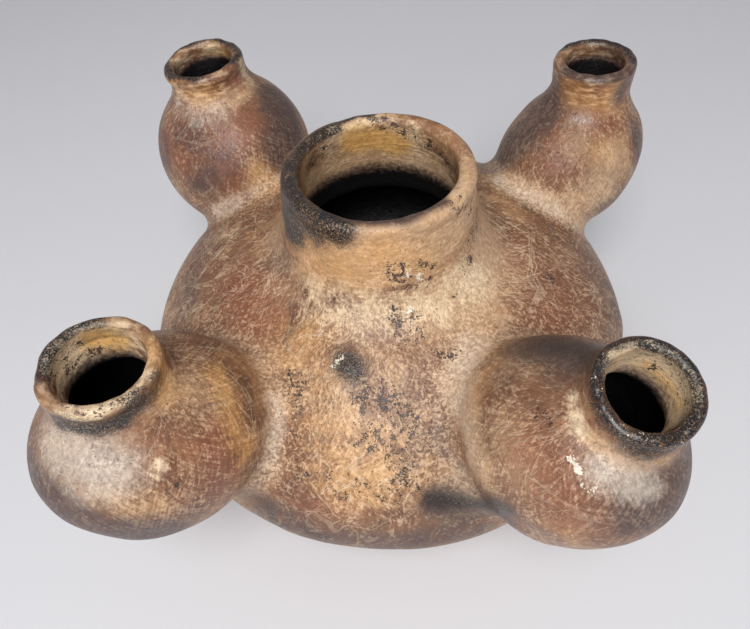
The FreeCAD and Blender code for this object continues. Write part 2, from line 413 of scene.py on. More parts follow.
def aimedLight(name, place, size, power):
    data = bpy.data.lights.new(name, "AREA")
    data.shape, data.size, data.energy = "DISK", size, power
    thing = bpy.data.objects.new(name, data)
    away = np.array(place) - np.array(light["aim"])
    side = unit(np.cross([0.0, 1.0, 0.0], away))
    turn = np.stack([side, np.cross(unit(away), side), unit(away)], 1)
    thing.matrix_world = Matrix.Translation(place) @ Matrix(turn.tolist()).to_4x4()
    bpy.context.scene.collection.objects.link(thing)


def makeLight():
    aimedLight("softTop", light["top"], light["topSize"], light["topPower"])
    aimedLight("softFront", light["front"], light["frontSize"], light["frontPower"])
    world = bpy.data.worlds.new("paleRoom")
    world.use_nodes = True
    background = world.node_tree.nodes["Background"]
    background.inputs["Color"].default_value = (*light["world"], 1)
    background.inputs["Strength"].default_value = light["worldStrength"]
    bpy.context.scene.world = world
    bpy.context.scene.view_settings.view_transform = "Standard"


def gridFaces(rows, columns, first=0, closed=False):
    # four-cornered faces of a grid that runs right round, and back to its first row where closed
    row = np.arange(rows if closed else rows - 1)[:, None]
    column = np.arange(columns)[None, :]
    here, below = row * columns, (row + 1) % rows * columns
    after = (column + 1) % columns
    corners = [here + column, here + after, below + after, below + column]
    return first + np.stack(corners, -1).reshape(-1, 4)


def fanFaces(first, pole, columns):  # triangles from a row of a grid to a pole
    column = np.arange(columns)
    return np.stack([first + column, first + (column + 1) % columns, np.full(columns, pole)], -1)


def rowJoin(first, second, columns):  # four-cornered faces from one row to another
    column = np.arange(columns)
    after = (column + 1) % columns
    return np.stack([first + after, first + column, second + column, second + after], -1)


def insideOut(points, faceSets):
    # six times the volume inside: each face's triangles as corners of pyramids from the origin
    total = 0.0
    for faces in faceSets:
        corners = points[faces]
        for k in range(2, faces.shape[1]):
            crossed = np.cross(corners[:, k - 1], corners[:, k])
            total += (corners[:, 0] * crossed).sum()
    return total < 0


def makePiece(name, nodes, slot, points, faceSets, normals, jar=None):
    # a mesh from points in millimetres; normals that are nought are left to Blender
    if insideOut(points, faceSets):
        faceSets = [faces[:, ::-1] for faces in faceSets]
    mesh = bpy.data.meshes.new(name)
    faces = [face for faces in faceSets for face in faces.tolist()]
    mesh.from_pydata((points / metre).tolist(), [], faces)
    mesh.shade_smooth()
    piece = bpy.data.objects.new(name, mesh)
    bpy.context.scene.collection.objects.link(piece)
    found = np.zeros(points.size)
    mesh.vertices.foreach_get("normal", found)
    facing = np.where(lengths(normals)[:, None] > 0.5, normals, found.reshape(-1, 3))
    mesh.normals_split_custom_set_from_vertices(normals.tolist())
    addWearAndPaintedLight(mesh, points, facing, jar)
    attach(piece, "root")
    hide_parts(*nodes)
    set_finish(piece, slot)
    pieces[name] = piece
    print("made", name, len(points), "points", sum(len(f) for f in faceSets), "faces")
    return piece


def makeLoop(name, nodes, slot, parts, jar=None):
    # parts are rows of points with their normals, one after another, round a closed section
    columns = parts[0][0].shape[1]
    points = np.concatenate([rows for rows, _ in parts])
    normals = np.concatenate([np.zeros_like(rows) if n is None else n for rows, n in parts])
    faces = gridFaces(len(points), columns, closed=True)
    return makePiece(name, nodes, slot, points.reshape(-1, 3), [faces], normals.reshape(-1, 3), jar)


pieces = {}


# What age, smoke and soil left, with a few strokes of painted light, sheen and shade, stroke by
# stroke: what it is, how far it spreads in millimetres, how strong it is, and the line of places
# where it shows in the photograph, as pixels
neckMarks = {
    "smoke down the left cheek": ("soot", 8, 1.9, [(284, 170), (284, 190), (288, 210), (292, 224)]),
    "smoke under the front": ("soot", 6.5, 1.8, [(298, 192), (306, 210), (322, 221), (336, 228)]),
    "smoke between them": ("soot", 9, 1.0, [(300, 205), (312, 226)]),
    "smoke left on the rim": ("soot", 3.6, 1.3, [(290, 166), (302, 149), (318, 136), (334, 127)]),
    "smoke behind on the rim": ("soot", 1.6, 1.2, [(318, 133), (335, 124), (356, 117), (372, 115)]),
    "ochre front": ("ochre", 17, 0.62, [(318, 256), (345, 262), (372, 258)]),
    "pale over it": ("pale", 18, 1.35, [(322, 252), (345, 258), (372, 254)]),
    "ochre right of the front": ("ochre", 14, 0.4, [(395, 262), (425, 252)]),
    "pale right cheek": ("pale", 15, 1.35, [(420, 245), (446, 232), (466, 205), (470, 180)]),
    "front of the rim": ("umber", 3.5, 1.0, [(326, 213), (370, 222), (410, 218), (440, 203)]),
    "back of the rim": ("umber", 2.5, 1.0, [(345, 116), (385, 111), (413, 114)]),
    "right of the rim": ("rust", 4, 0.55, [(430, 124), (455, 145), (466, 165)]),
    # the back wall inside the neck is made paler: partly its own pale clay, partly painted light
    # for the light through the mouth
    "pale clay and painted light on the back wall": ("cream", 16, 0.45, [(322, 160), (345, 140), (375, 135), (405, 142),
                                           (440, 168)]),
    "painted light low on the back wall": ("pale", 12, 1.2, [(318, 178), (345, 161), (375, 157),
                                                      (410, 161), (440, 178)]),
    "amber back wall": ("amber", 8, 1.0, [(354, 142), (376, 139), (396, 144)]),
    "cream below the rim": ("cream", 5, 0.34, [(330, 135), (352, 122), (380, 119), (410, 124)]),
    "specks inside the back": ("speck", 5, 1.1, [(372, 120), (398, 130), (428, 144), (448, 162)]),
    "specks inside the left": ("speck", 4, 0.9, [(314, 160), (322, 150), (336, 142)]),
    "specks on the right cheek": ("speck", 8, 0.8, [(455, 205), (478, 215), (466, 262)]),
    "specks below the front": ("speck", 8, 1.15, [(392, 270), (408, 284), (424, 272)]),
    "flake below the front": ("flake", 4, 0.9, [(407, 274), (420, 277)]),
}
bodyMarks = {
    "round grey patch": ("soot", 6, 0.9, [(346, 363), (352, 369)]),
    "dark rag of slip": ("speck", 7, 1.25, [(402, 316), (412, 328), (408, 334)]),
    "dark rag beside it": ("speck", 5, 1.3, [(440, 350), (450, 353)]),
    "specks left of the middle": ("speck", 6, 0.9, [(288, 378), (304, 381), (296, 395)]),
    "specks right of the middle": ("speck", 9, 1.12, [(366, 398), (392, 400), (408, 420)]),
    "specks low down": ("speck", 10, 0.95, [(372, 436), (395, 450), (404, 485)]),
    "thin specks over the front": ("speck", 20, 0.5, [(350, 410), (380, 440), (420, 400)]),
    "speck near the neck": ("speck", 3, 0.9, [(455, 297)]),
    "specks right of the dome": ("speck", 3.5, 1.0, [(549, 276), (553, 285)]),
    "pale front": ("pale", 24, 0.42, [(375, 330), (385, 380), (380, 430), (372, 470)]),
    "pale under the neck": ("cream", 11, 0.55, [(320, 300), (370, 312), (430, 306), (470, 280)]),
    "pale right of the neck": ("pale", 22, 0.9, [(440, 310), (468, 295), (486, 250)]),
    "white crystals": ("flake", 4, 0.8, [(412, 312), (404, 322)]),
    "white by the round patch": ("flake", 2.5, 0.9, [(331, 367), (342, 356)]),
    "specks low on the left": ("speck", 9, 0.7, [(300, 474), (340, 488), (380, 494)]),
    "specks by the left valley": ("speck", 5, 0.7, [(292, 412), (294, 440)]),
    "red left of the dome": ("rust", 17, 0.9, [(240, 285), (262, 300), (255, 320)]),
    "orange left of the front": ("ochre", 14, 0.45, [(310, 330), (322, 360)]),
    "orange low on the front": ("ochre", 20, 0.5, [(305, 405), (330, 440), (360, 478)]),
    "red on the right of the dome": ("rust", 24, 0.6, [(520, 250), (560, 290), (550, 320)]),
    "brown far right": ("umber", 16, 0.5, [(598, 270), (612, 310)]),
    "brown far left": ("umber", 13, 0.5, [(200, 262), (186, 300)]),
    "smoke low on the right": ("soot", 5, 0.6, [(430, 500), (455, 502), (480, 505), (508, 509)]),
    "smoke spread low down": ("umber", 9, 1.1, [(440, 502), (500, 512)]),
    "pale right valley": ("pale", 12, 0.9, [(474, 335), (462, 380), (468, 430), (480, 465)]),
    "white in the right valley": ("dustAndSheen", 10, 0.6, [(470, 350), (460, 400), (470, 450)]),
    "white in the left valley": ("dustAndSheen", 6, 0.5, [(272, 400), (276, 430), (268, 458)]),
    "dark low front": ("umber", 15, 0.7, [(270, 520), (330, 540), (400, 545), (470, 532)]),
    "grey low on the left": ("soot", 8, 0.35, [(245, 494), (268, 505)]),
    "rust under the front": ("rust", 12, 0.5, [(300, 500), (350, 515)]),
}
frontLeftMarks = {
    "smoke on the back of the lip": ("soot", 5, 0.9, [(42, 368), (52, 342), (74, 324), (92, 320)]),
    "smoke below the ledge": ("soot", 4, 1.1, [(58, 421), (76, 426), (98, 427), (120, 420),
                                               (138, 402)]),
    # a thin painted highlight along the ledge's edge, in cream
    "painted highlight on the ledge's edge": ("cream", 1.3, 1.9, [(53, 413), (66, 418), (82, 420), (98, 417)]),
    "smoke at the lip's right": ("soot", 4, 0.6, [(150, 398), (158, 380)]),
    "cream inside": ("cream", 12, 1.0, [(60, 362), (82, 346), (112, 350), (134, 362)]),
    "orange inside": ("amber", 7, 0.7, [(92, 338), (104, 340), (120, 344)]),
    "stipple inside": ("speck", 8, 0.8, [(60, 372), (78, 352), (100, 350)]),
    "stipple on the lip": ("speck", 4, 0.8, [(48, 380), (56, 402), (84, 414), (116, 408),
                                             (142, 384)]),
    "cream top of the lip": ("cream", 4, 0.7, [(60, 400), (90, 412), (120, 404), (146, 372)]),
    "orange outer neck": ("ochre", 9, 0.7, [(158, 352), (164, 372), (160, 396)]),
    # white dust with a painted sheen over the front of the pod
    "dusty painted sheen on the front of the pod": ("dustAndSheen", 14, 0.95, [(62, 446), (88, 458), (106, 474)]),
    "tan under it": ("ochre", 13, 0.5, [(110, 505), (150, 510)]),
    "white top of the pod": ("pale", 15, 0.5, [(190, 388), (214, 400)]),
    "peach spot": ("cream", 4, 0.55, [(162, 469)]),
    "dark spot": ("speck", 3, 1.0, [(177, 482)]),
    "red beside the body": ("rust", 14, 0.8, [(214, 448), (220, 478)]),
    "orange beside the body": ("ochre", 8, 0.7, [(218, 378), (248, 446)]),
    "brown low edge": ("umber", 14, 1.4, [(36, 488), (58, 514), (100, 534), (150, 536)]),
    "red pod middle": ("rust", 16, 0.5, [(150, 440), (180, 500)]),
}
frontRightMarks = {
    "black lip left": ("soot", 4.5, 0.9, [(601, 356), (597, 380), (604, 412), (620, 434)]),
    "black lip front": ("soot", 6.5, 1.0, [(640, 442), (668, 444), (692, 430), (704, 405)]),
    "black lip right": ("soot", 6, 1.0, [(700, 378), (690, 360), (672, 346), (650, 340)]),
    "black lip back": ("soot", 3, 0.8, [(640, 337), (624, 339), (608, 346)]),
    "cream on the lip": ("cream", 5, 1.7, [(604, 384), (606, 368), (618, 352), (640, 345),
                                           (654, 348)]),
    "cream inside": ("cream", 13, 1.0, [(630, 362), (655, 362), (676, 378), (684, 400)]),
    "amber inside": ("amber", 6, 0.45, [(650, 368), (668, 384), (680, 404)]),
    # painted shade down the wall inside the spout
    "painted shade inside": ("umber", 7, 1.0, [(636, 378), (648, 386), (658, 404), (660, 420)]),
    "specks inside": ("speck", 9, 0.7, [(640, 360), (670, 372), (684, 396)]),
    "dark flank by the body": ("umber", 11, 1.5, [(532, 341), (560, 349), (588, 357)]),
    "purple flank by the body": ("soot", 9, 0.5, [(540, 342), (568, 348), (592, 355)]),
    # painted shade on the right wall inside the spout
    "painted shade inside right": ("umber", 6, 0.8, [(676, 384), (686, 404), (678, 420)]),
    "brown behind the neck": ("umber", 11, 0.7, [(560, 372), (590, 368)]),
    "brown left of the pod": ("umber", 10, 0.5, [(510, 372), (520, 360)]),
    "deposit down the neck": ("cream", 3.4, 0.6, [(570, 396), (576, 412), (580, 430)]),
    # mostly a painted sheen, in the chalk white, under the neck
    "painted sheen and dust under the neck": ("dustAndSheen", 8, 0.85, [(606, 474), (626, 484), (644, 488)]),
    "pale ring under the neck": ("pale", 4, 0.8, [(592, 440), (610, 458), (640, 468), (668, 462)]),
    "specks left of the neck": ("speck", 5, 0.8, [(541, 413), (549, 421)]),
    "flake": ("flake", 2.0, 1.05, [(571, 458), (577, 465), (580, 472)]),
    "small flake": ("flake", 1.7, 1.05, [(582, 488), (588, 493), (596, 489)]),
    "stipple on the lip": ("flake", 6, 0.6, [(603, 360), (603, 390), (620, 428), (655, 443),
                                             (690, 428)]),
    "orange flake at the right": ("ochre", 4, 1.0, [(692, 446), (694, 460)]),
    "dark low right": ("umber", 14, 1.5, [(650, 510), (675, 500), (690, 478)]),
    "rust middle of the pod": ("rust", 15, 0.6, [(530, 450), (560, 500), (600, 520)]),
    "pale left of the pod": ("pale", 14, 0.6, [(500, 430), (520, 470)]),
}
rearMarks = {
    "orange inside rear left": ("ochre", 5, 1.0, [(214, 54), (228, 58)]),
    "dark rim right": ("soot", 3.5, 0.9, [(230, 42), (241, 50)]),
    "dark rim rear left": ("soot", 2.4, 1.3, [(233, 41), (208, 37), (176, 48), (165, 58),
                                              (165, 68), (171, 76), (195, 79), (215, 71),
                                              (230, 61), (241, 50)]),
    "khaki inside rear left": ("cream", 7, 0.45, [(178, 62), (196, 50), (214, 46)]),
    "dark flecks": ("speck", 3.5, 0.9, [(174, 78), (180, 84)]),
    "orange neck rear left": ("ochre", 9, 0.6, [(172, 82), (190, 94), (212, 96)]),
    "pale right of the rear left neck": ("cream", 5, 0.7, [(242, 64), (244, 74)]),
    "red under it": ("rust", 5, 0.8, [(236, 80), (240, 86)]),
    "white at the rear left neck's foot": ("dustAndSheen", 8, 0.5, [(178, 104), (200, 118), (222, 112)]),
    "tan right of it": ("pale", 7, 0.8, [(232, 100), (244, 92), (250, 84)]),
    "dark right of the rear left pod": ("umber", 14, 1.2, [(278, 100), (290, 125), (286, 150)]),
    "red rear left pod": ("rust", 20, 0.9, [(180, 140), (215, 160), (250, 140)]),
    "brown flecks on it": ("umber", 12, 0.6, [(185, 135), (225, 165), (200, 185)]),
    "orange low on it": ("ochre", 9, 0.7, [(262, 172), (272, 186)]),
    "white junction rear left": ("dustAndSheen", 7, 0.5, [(216, 212), (236, 206)]),
    "brown left edge": ("umber", 10, 0.7, [(160, 130), (164, 160)]),
    "white spot": ("flake", 2.6, 1.2, [(567, 58)]),
    "dark rim rear right": ("soot", 3.0, 1.1, [(561, 46), (583, 39), (604, 38), (626, 45),
                                               (637, 60)]),
    "dark rim before it": ("umber", 3.6, 1.2, [(637, 62), (630, 73), (606, 78), (583, 75),
                                               (562, 68)]),
    "brown right of the neck": ("umber", 6, 0.7, [(628, 82), (620, 96)]),
    "grey inside rear right": ("cream", 5, 0.22, [(570, 52), (584, 46), (604, 48)]),
    "golden neck": ("ochre", 10, 0.6, [(568, 92), (596, 100), (620, 94)]),
    "white at the rear right neck's foot": ("dustAndSheen", 4, 0.45, [(572, 121), (586, 122)]),
    "purple flank": ("umber", 13, 1.0, [(545, 108), (522, 134), (496, 160)]),
    "red middle": ("rust", 12, 0.8, [(556, 132), (560, 160), (600, 118)]),
    "purple right edge": ("umber", 8, 0.9, [(636, 130), (640, 150)]),
    "orange middle": ("ochre", 12, 0.5, [(575, 140), (600, 152)]),
    "brown over the rear right pod": ("umber", 22, 0.32, [(570, 130), (600, 170)]),
    "tan low right": ("pale", 14, 0.9, [(610, 160), (600, 190), (580, 205)]),
    "dusty valley": ("dustAndSheen", 7, 0.5, [(496, 182), (511, 192), (541, 206), (567, 220), (582, 233)]),
    "pale along it": ("pale", 8, 0.9, [(500, 180), (530, 196), (560, 212), (584, 226)]),
}


def wallForm(p):  # the clay itself, outside the hollows
    hollow = chamberHollow(p)
    for jar in jars.values():
        hollow = np.minimum(hollow, jarHollow(p, jar))
    return np.maximum(wholeSkin(p), -hollow)


pixelStep = 5  # how far apart a stroke's points are at most


def placeMarks():
    # each stroke becomes points on the clay a few pixels apart, with the way the clay faces there
    placed = []
    for marks in (neckMarks, bodyMarks, frontLeftMarks, frontRightMarks, rearMarks):
        for kind, spread, strength, line in marks.values():
            line = np.array(line, float)
            run = np.append(0, np.cumsum(lengths(np.diff(line, axis=0))))
            steps = np.linspace(0, run[-1], 1 + math.ceil(run[-1] / pixelStep))
            pixels = np.stack([np.interp(steps, run, line[:, 0]),
                               np.interp(steps, run, line[:, 1])], -1)
            points = pickPlaces(pixels, wallForm)
            placed.append((kind, spread, strength, points, slopeOf(wallForm, points)))
    return placed


marked = placeMarks()
print("placed", len(marked), "marks")
# the chalk white is dust in the hollows, and a painted sheen where it lies on the fronts of the
# pods
kinds = ["soot", "speck", "cream", "ochre", "rust", "umber", "pale", "dustAndSheen", "flake", "amber"]


# How wear settles, in millimetres: how fast dust thins out between two forms, where the level lines
# of a neck set in, and where the lines on the body and on a jar give way to an even grain
settle = {"neckDust": 9, "podDust": 8, "spoutDust": 5, "spoutDustShare": 0.55,
          "spoutNear": 5, "spoutRise": (-40, -16), "neckRise": 12, "neckShare": 0.6, "calm": 0.85,
          "ringEdge": (0, 8), "bodyAxis": (15, 35), "chamberSkin": (1, 8), "jarAxis": (6, 16),
          "facing": (-0.3, 0.4), "reach": 3}


def addWearAndPaintedLight(mesh, points, facing, jar):
    # each kind is strongest where a stroke of it is nearest, and only on clay that faces its way
    wear = {kind: np.zeros(len(points)) for kind in kinds}
    low, high = points.min(0), points.max(0)
    for kind, spread, strength, places, ways in marked:
        for place, way in zip(places, ways):
            far = settle["reach"] * spread
            if ((place < low - far) | (place > high + far)).any():
                continue
            gap = ((points - place) ** 2).sum(-1)
            seen = ease(*settle["facing"], facing @ way)
            value = strength * np.exp(-gap / spread ** 2) * seen
            wear[kind] = np.maximum(wear[kind], value)
    # dust lies in the hollows between two forms, where both are near
    skin = np.maximum(chamberForm(points), 0)
    dust = np.exp(-(skin + np.maximum(neckForm(points), 0)) / settle["neckDust"])
    turned, climb = np.zeros(len(points)), np.zeros(len(points))
    for other in jars.values():
        pod, spout = (np.maximum(f(points, other), 0) for f in (podForm, spoutForm))
        rise = (points - other["lipTop"]) @ other["lipAxis"]
        near = np.exp(-spout / settle["spoutNear"]) * ease(*settle["spoutRise"], rise)
        dust = np.maximum(dust, np.exp(-(skin + pod) / settle["podDust"]))
        thin = settle["spoutDustShare"] * np.exp(-(pod + spout) / settle["spoutDust"])
        dust = np.maximum(dust, thin)
        climb = np.where(near > turned, rise, climb)
        turned = np.maximum(turned, near)
    # lines run round and down the body's axis, or the nearest jar's on the pieces of a jar, and
    # give way to lines in all directions where the two meet
    if jar is None:
        way, across = followWays(points, chamberMiddle, up)
        apart = np.min([ringEdge(points, other) for other in jars.values()], 0)
        upright = ease(chamberTop - settle["neckRise"], chamberTop + settle["neckRise"],
                       points[:, 2])
        clear = ease(*settle["ringEdge"], apart) * ease(*settle["bodyAxis"], across)
        wear["along"] = clear * (1 - settle["calm"] * upright)
        climb = np.where(turned > 0.5, climb, points[:, 2])
        turned = np.maximum(turned, settle["neckShare"] * upright)
    else:
        way, across = followWays(points, jar["podMiddle"], jar["lipAxis"])
        clear = ease(*settle["chamberSkin"], chamberForm(points)) * ease(*settle["jarAxis"], across)
        wear["along"] = clear * (1 - settle["calm"] * turned)
    wear["dust"] = dust
    wear["turned"] = turned
    wear["climb"] = climb / metre
    # the deep layer is the share of painted shade deep inside the mouths
    wear["deep"] = insideShadeShare(points)
    for kind, values in wear.items():
        layer = mesh.attributes.new(kind, "FLOAT", "POINT")
        layer.data.foreach_set("value", values.astype(np.float32))
    layer = mesh.attributes.new("way", "FLOAT_VECTOR", "POINT")
    layer.data.foreach_set("vector", way.astype(np.float32).ravel())


def insideShadeShare(p):
    # how much painted shade a place gets deep inside a mouth, by how far down it is: 0 where the
    # painted shade begins and 1 where it is full
    def shadeOf(hollow, insideSkin, shade, drop):
        return np.where(hollow < insideSkin, ease(*shade, drop), 0.0)

    share = shadeOf(chamberHollow(p), neck["insideSkin"], neck["shade"], (rimTop - p) @ rimAxis)
    for jar in jars.values():
        drop = (jar["lipTop"] - p) @ jar["lipAxis"]
        share = np.maximum(share, shadeOf(jarHollow(p, jar), jarShared["insideSkin"],
                                          jar["shade"], drop))
    return share


def followWays(p, middle, axis):
    # for lines that run over a form: cosine and sine of the turn about its axis, then the angle
    # down from it, and how far from the axis the place is
    zero = unit(np.cross([0.0, 1.0, 0.0], axis))
    q = p - middle
    first, second = q @ zero, q @ np.cross(axis, zero)
    across = np.maximum(np.hypot(first, second), 1e-6)
    return np.stack([first / across, second / across, np.arctan2(across, q @ axis)], -1), across


def sidesOf(first, second, columns):  # one way per column, all round
    turns = np.linspace(0, fullTurn, columns, endpoint=False)[:, None]
    return np.cos(turns) * first + np.sin(turns) * second


levelSides = sidesOf(np.array([1.0, 0, 0]), np.array([0, 1.0, 0]), chamber["columns"])


def aboveLevel(level):
    return lambda p: level - p[..., 2]


def aboveNeck(p):
    return (neckTop - p) @ rimAxis


def sweptRows(form, origin, pole, sides, first, last, rows, reach):
    # the skin between two angles from a pole, one share of the way further with each row
    share = np.linspace(0, 1, rows)[:, None]
    angle = mixed(first, last, share)
    return castRays(form, origin, leaned(angle, pole, sides), reach)


def upperAngles(form, cut, low=0.15, high=2.0):
    return meetingAngle(form, cut, chamberMiddle, up, levelSides, low, high, chamber["reach"])


def makeNeck():
    parts = []
    for form, way in ((domeSkin, 1), (chamberHollow, -1)):
        top, foot = upperAngles(form, aboveNeck), upperAngles(form, aboveLevel(neckSeam))
        rows = sweptRows(form, chamberMiddle, up, levelSides, top, foot, neck["rows"],
                         chamber["reach"])
        parts.append((rows[::way], way * slopeOf(form, rows[::way])))
    makeLoop("neck", ["central_neck"], "neck_clay", parts)
    return parts[0][0][0], parts[1][0][-1]


def makeBowl():
    # the lower half: both skins run from the seam to a pole in the middle of the floor
    columns = chamber["columns"]
    points, normals, faces = [], [], []
    for form, rows, height in ((bowlSkin, chamber["bowlRows"], 0.0),
                               (chamberHollow, chamber["innerRows"], chamber["floor"])):
        seam = upperAngles(form, aboveLevel(bowlSeam))
        skin = sweptRows(form, chamberMiddle, up, levelSides, seam, math.pi, rows + 1,
                         chamber["reach"])[:-1]
        first = sum(len(p) for p in points)
        side = 1 if form is bowlSkin else -1
        points += [skin.reshape(-1, 3), np.array([[0, 0, height]])]
        normals += [side * slopeOf(form, skin).reshape(-1, 3), np.array([[0, 0, -side]])]
        grid = gridFaces(rows, columns, first)
        fan = fanFaces(first + (rows - 1) * columns, first + rows * columns, columns)[:, ::-1]
        faces += [grid[:, ::side], fan[:, ::side]]
    inner = chamber["bowlRows"] * columns + 1
    faces.append(rowJoin(0, inner, columns))
    makePiece("bowl", ["base_bowl"], "chamber_clay", np.concatenate(points), faces,
              np.concatenate(normals))


def openedGrid(form, jarCells):
    # the dome's rows and columns, drawn apart round each jar's passage so that a square block of
    # them becomes its round hole: each place moves out along its own way from the block's middle
    rows, columns = chamber["domeRows"], chamber["columns"]
    block = chamber["holeCells"]
    top, seam = upperAngles(form, aboveLevel(neckSeam)), upperAngles(form, aboveLevel(bowlSeam))
    around = np.arange(columns + 1)

    def skinAt(u, v):
        turn = u / columns * fullTurn
        first = np.interp(u % columns, around, np.append(top, top[0]))
        last = np.interp(u % columns, around, np.append(seam, seam[0]))
        side = np.stack([np.cos(turn), np.sin(turn), np.zeros_like(turn)], -1)
        angle = mixed(first, last, v / (rows - 1))
        return castRays(form, chamberMiddle, leaned(angle, up, side), chamber["reach"])

    v, u = np.meshgrid(np.arange(rows, dtype=float), np.arange(columns, dtype=float),
                       indexing="ij")
    ways = np.linspace(-math.pi, math.pi, 361)
    for (middleU, middleV), jar in zip(jarCells, jars.values()):
        spread = min(chamber["spreadCells"], rows - 2 - middleV)
        near, far = np.full(len(ways), 1.0), np.full(len(ways), spread * 1.0)
        for _ in range(halvings["edge"]):
            half = (near + far) / 2
            inside = passageForm(
                skinAt(middleU + half * np.cos(ways), middleV + half * np.sin(ways)), jar) < 0
            near, far = np.where(inside, half, near), np.where(inside, far, half)
        du = (np.arange(columns) - middleU + columns / 2) % columns - columns / 2
        dv = np.arange(rows) - middleV
        dv, du = np.meshgrid(dv, du, indexing="ij")
        cells = np.maximum(abs(du), abs(dv))
        way = np.arctan2(dv, du)
        corner = 1 / np.maximum(abs(np.cos(way)), abs(np.sin(way)))
        rim = np.interp(way, ways, near)
        out = rim + (spread * corner - rim) * (cells - block) / (spread - block)
        moved = (cells >= block) & (cells < spread)
        u = np.where(moved, middleU + out * np.cos(way), u)
        v = np.where(moved, middleV + out * np.sin(way), v)
    return skinAt(u, v)


def makeDome():
    rows, columns, block = chamber["domeRows"], chamber["columns"], chamber["holeCells"]
    top, seam = (upperAngles(domeSkin, aboveLevel(z)) for z in (neckSeam, bowlSeam))
    cells, removed, loops = [], np.zeros((rows - 1, columns), bool), []
    edge = np.arange(-block, block)
    goDown, goAcross = np.full(2 * block, block), edge
    squareU = np.concatenate([goAcross, goDown, -goAcross, -goDown])
    squareV = np.concatenate([-goDown, goAcross, goDown, -goAcross])
    for jar in jars.values():
        middle = castRays(domeSkin, jar["deep"], jar["ringAxis"][None], 90.0)[0] - chamberMiddle
        middleU = round(math.atan2(middle[1], middle[0]) % fullTurn / fullTurn * columns)
        angle = math.acos(middle[2] / lengths(middle))
        share = (angle - top[middleU % columns]) / (seam - top)[middleU % columns]
        middleV = round(share * (rows - 1))
        cells.append((middleU, middleV))
        removed[np.ix_(middleV + edge, (middleU + edge) % columns)] = True
        loops.append((middleV + squareV) * columns + (middleU + squareU) % columns)
    outer, inner = openedGrid(domeSkin, cells), openedGrid(chamberHollow, cells)
    kept = gridFaces(rows, columns)[~removed.ravel()]
    half = rows * columns
    faces = [kept, kept[:, ::-1] + half, rowJoin(0, half, columns)]
    faces.append(rowJoin(half - columns, 2 * half - columns, columns)[:, ::-1])
    for loop in loops:
        after = np.roll(loop, -1)
        faces.append(np.stack([loop, after, after + half, loop + half], -1))
    points = np.concatenate([outer, inner]).reshape(-1, 3)
    normals = np.concatenate([slopeOf(domeSkin, outer), -slopeOf(chamberHollow, inner)])
    faces = np.concatenate(faces)
    used, faces = np.unique(faces, return_inverse=True)
    makePiece("dome", ["shoulder_dome"], "chamber_clay", points[used],
              [faces.reshape(-1, 4)], normals.reshape(-1, 3)[used])


def atJarPlane(point, axis):
    return lambda p: (point - p) @ axis


def ringEdge(p, jar):
    # nought at the collar's edge: past the end of the fillet, and well away from the passage
    middle = jar["podMiddle"] - jar["ringAxis"] * jarShared["ringMiddle"]
    outward = jar["radius"] + jarShared["ringMargin"]
    return np.minimum(podForm(p, jar) - jarShared["joint"] - 1.0, lengths(p - middle) - outward)


def makeRing(name, jar):
    # the collar: out over the fillet and the dome, back under itself, and up inside the passage
    shared = jarShared
    skin = lambda p: jarSkin(p, jar)
    deep, axis, sides, reach = jar["deep"], jar["ringAxis"], jar["ringSides"], shared["ringReach"]
    seam, edge = atJarPlane(jar["ringSeam"], axis), lambda p: ringEdge(p, jar)
    first = meetingAngle(skin, seam, deep, axis, sides, 0.15, 1.4, reach)
    last = meetingAngle(skin, edge, deep, axis, sides, first, 1.5, reach)
    passage = lambda p: passageForm(p, jar)
    hole = meetingAngle(domeSkin, passage, deep, axis, sides, 0.05, 1.4, reach)
    over = sweptRows(skin, deep, axis, sides, first, last, shared["ringRows"], reach)
    facing = slopeOf(skin, over)
    lift = shared["lift"] * ease(0, 1, np.linspace(0, 1, shared["ringRows"]))[:, None, None]
    under = sweptRows(domeSkin, deep, axis, sides, last, hole, shared["underRows"], reach)
    # inside, the wall's points keep their column's side, and each row is nearer the seam plane
    share = np.linspace(0, 1, shared["passageRows"])[:, None]
    steps = mixed((under[-1] - jar["ringSeam"]) @ axis, 0, share)
    origin = jar["ringSeam"] + steps[..., None] * axis
    wall = castRays(passage, origin, np.broadcast_to(sides, origin.shape), shared["boreReach"])
    makeLoop("ring_" + name, ["luting_ring_" + name], "joint_clay",
             [(over + facing * lift, facing), (under[1:], None), (wall[1:], None)], jar)


def bulbStations(jar, rows):
    # half-planes hung on the line where the two seams cross, swung from the collar's to the
    # spout's, each with its own middle inside the pod
    share = np.linspace(0, 1, rows)
    first, last, hinge = jar["ringOut"], jar["spoutOut"], jar["hinge"]
    square = unit(last - (last @ first) * first)
    swing = math.acos(np.clip(last @ first, -1, 1))
    out = np.cos(share * swing)[:, None] * first + np.sin(share * swing)[:, None] * square
    near = float((jar["ringSeam"] - jar["crossing"]) @ first)
    far = float((jar["spoutSeam"] - jar["crossing"]) @ last)
    toPod = jar["podMiddle"] - jar["crossing"]
    podShare = math.atan2(toPod @ square, toPod @ first) / swing
    podOut = math.hypot(toPod @ square, toPod @ first)
    bulge = (podOut - mixed(near, far, podShare)) / math.sin(math.pi * podShare)
    gap = mixed(near, far, share) + bulge * np.sin(math.pi * share)
    middle = jar["crossing"] + out * gap[:, None] + hinge * (share * jar["slide"])[:, None]
    return middle, out, gap


def stationRows(form, jar, rows):
    middle, out, gap = bulbStations(jar, rows)
    reach = jarShared["bulbReach"]
    turns = np.linspace(0, fullTurn, jarShared["columns"], endpoint=False)
    way = np.cos(turns)[:, None] * jar["hinge"] + np.sin(turns)[:, None] * out[:, None]
    toHinge = gap[:, None] / np.maximum(-np.sin(turns), 1e-6)
    stop = np.where(np.sin(turns) < 0, np.minimum(reach, toHinge), reach)
    return castRays(form, middle[:, None], way, stop)


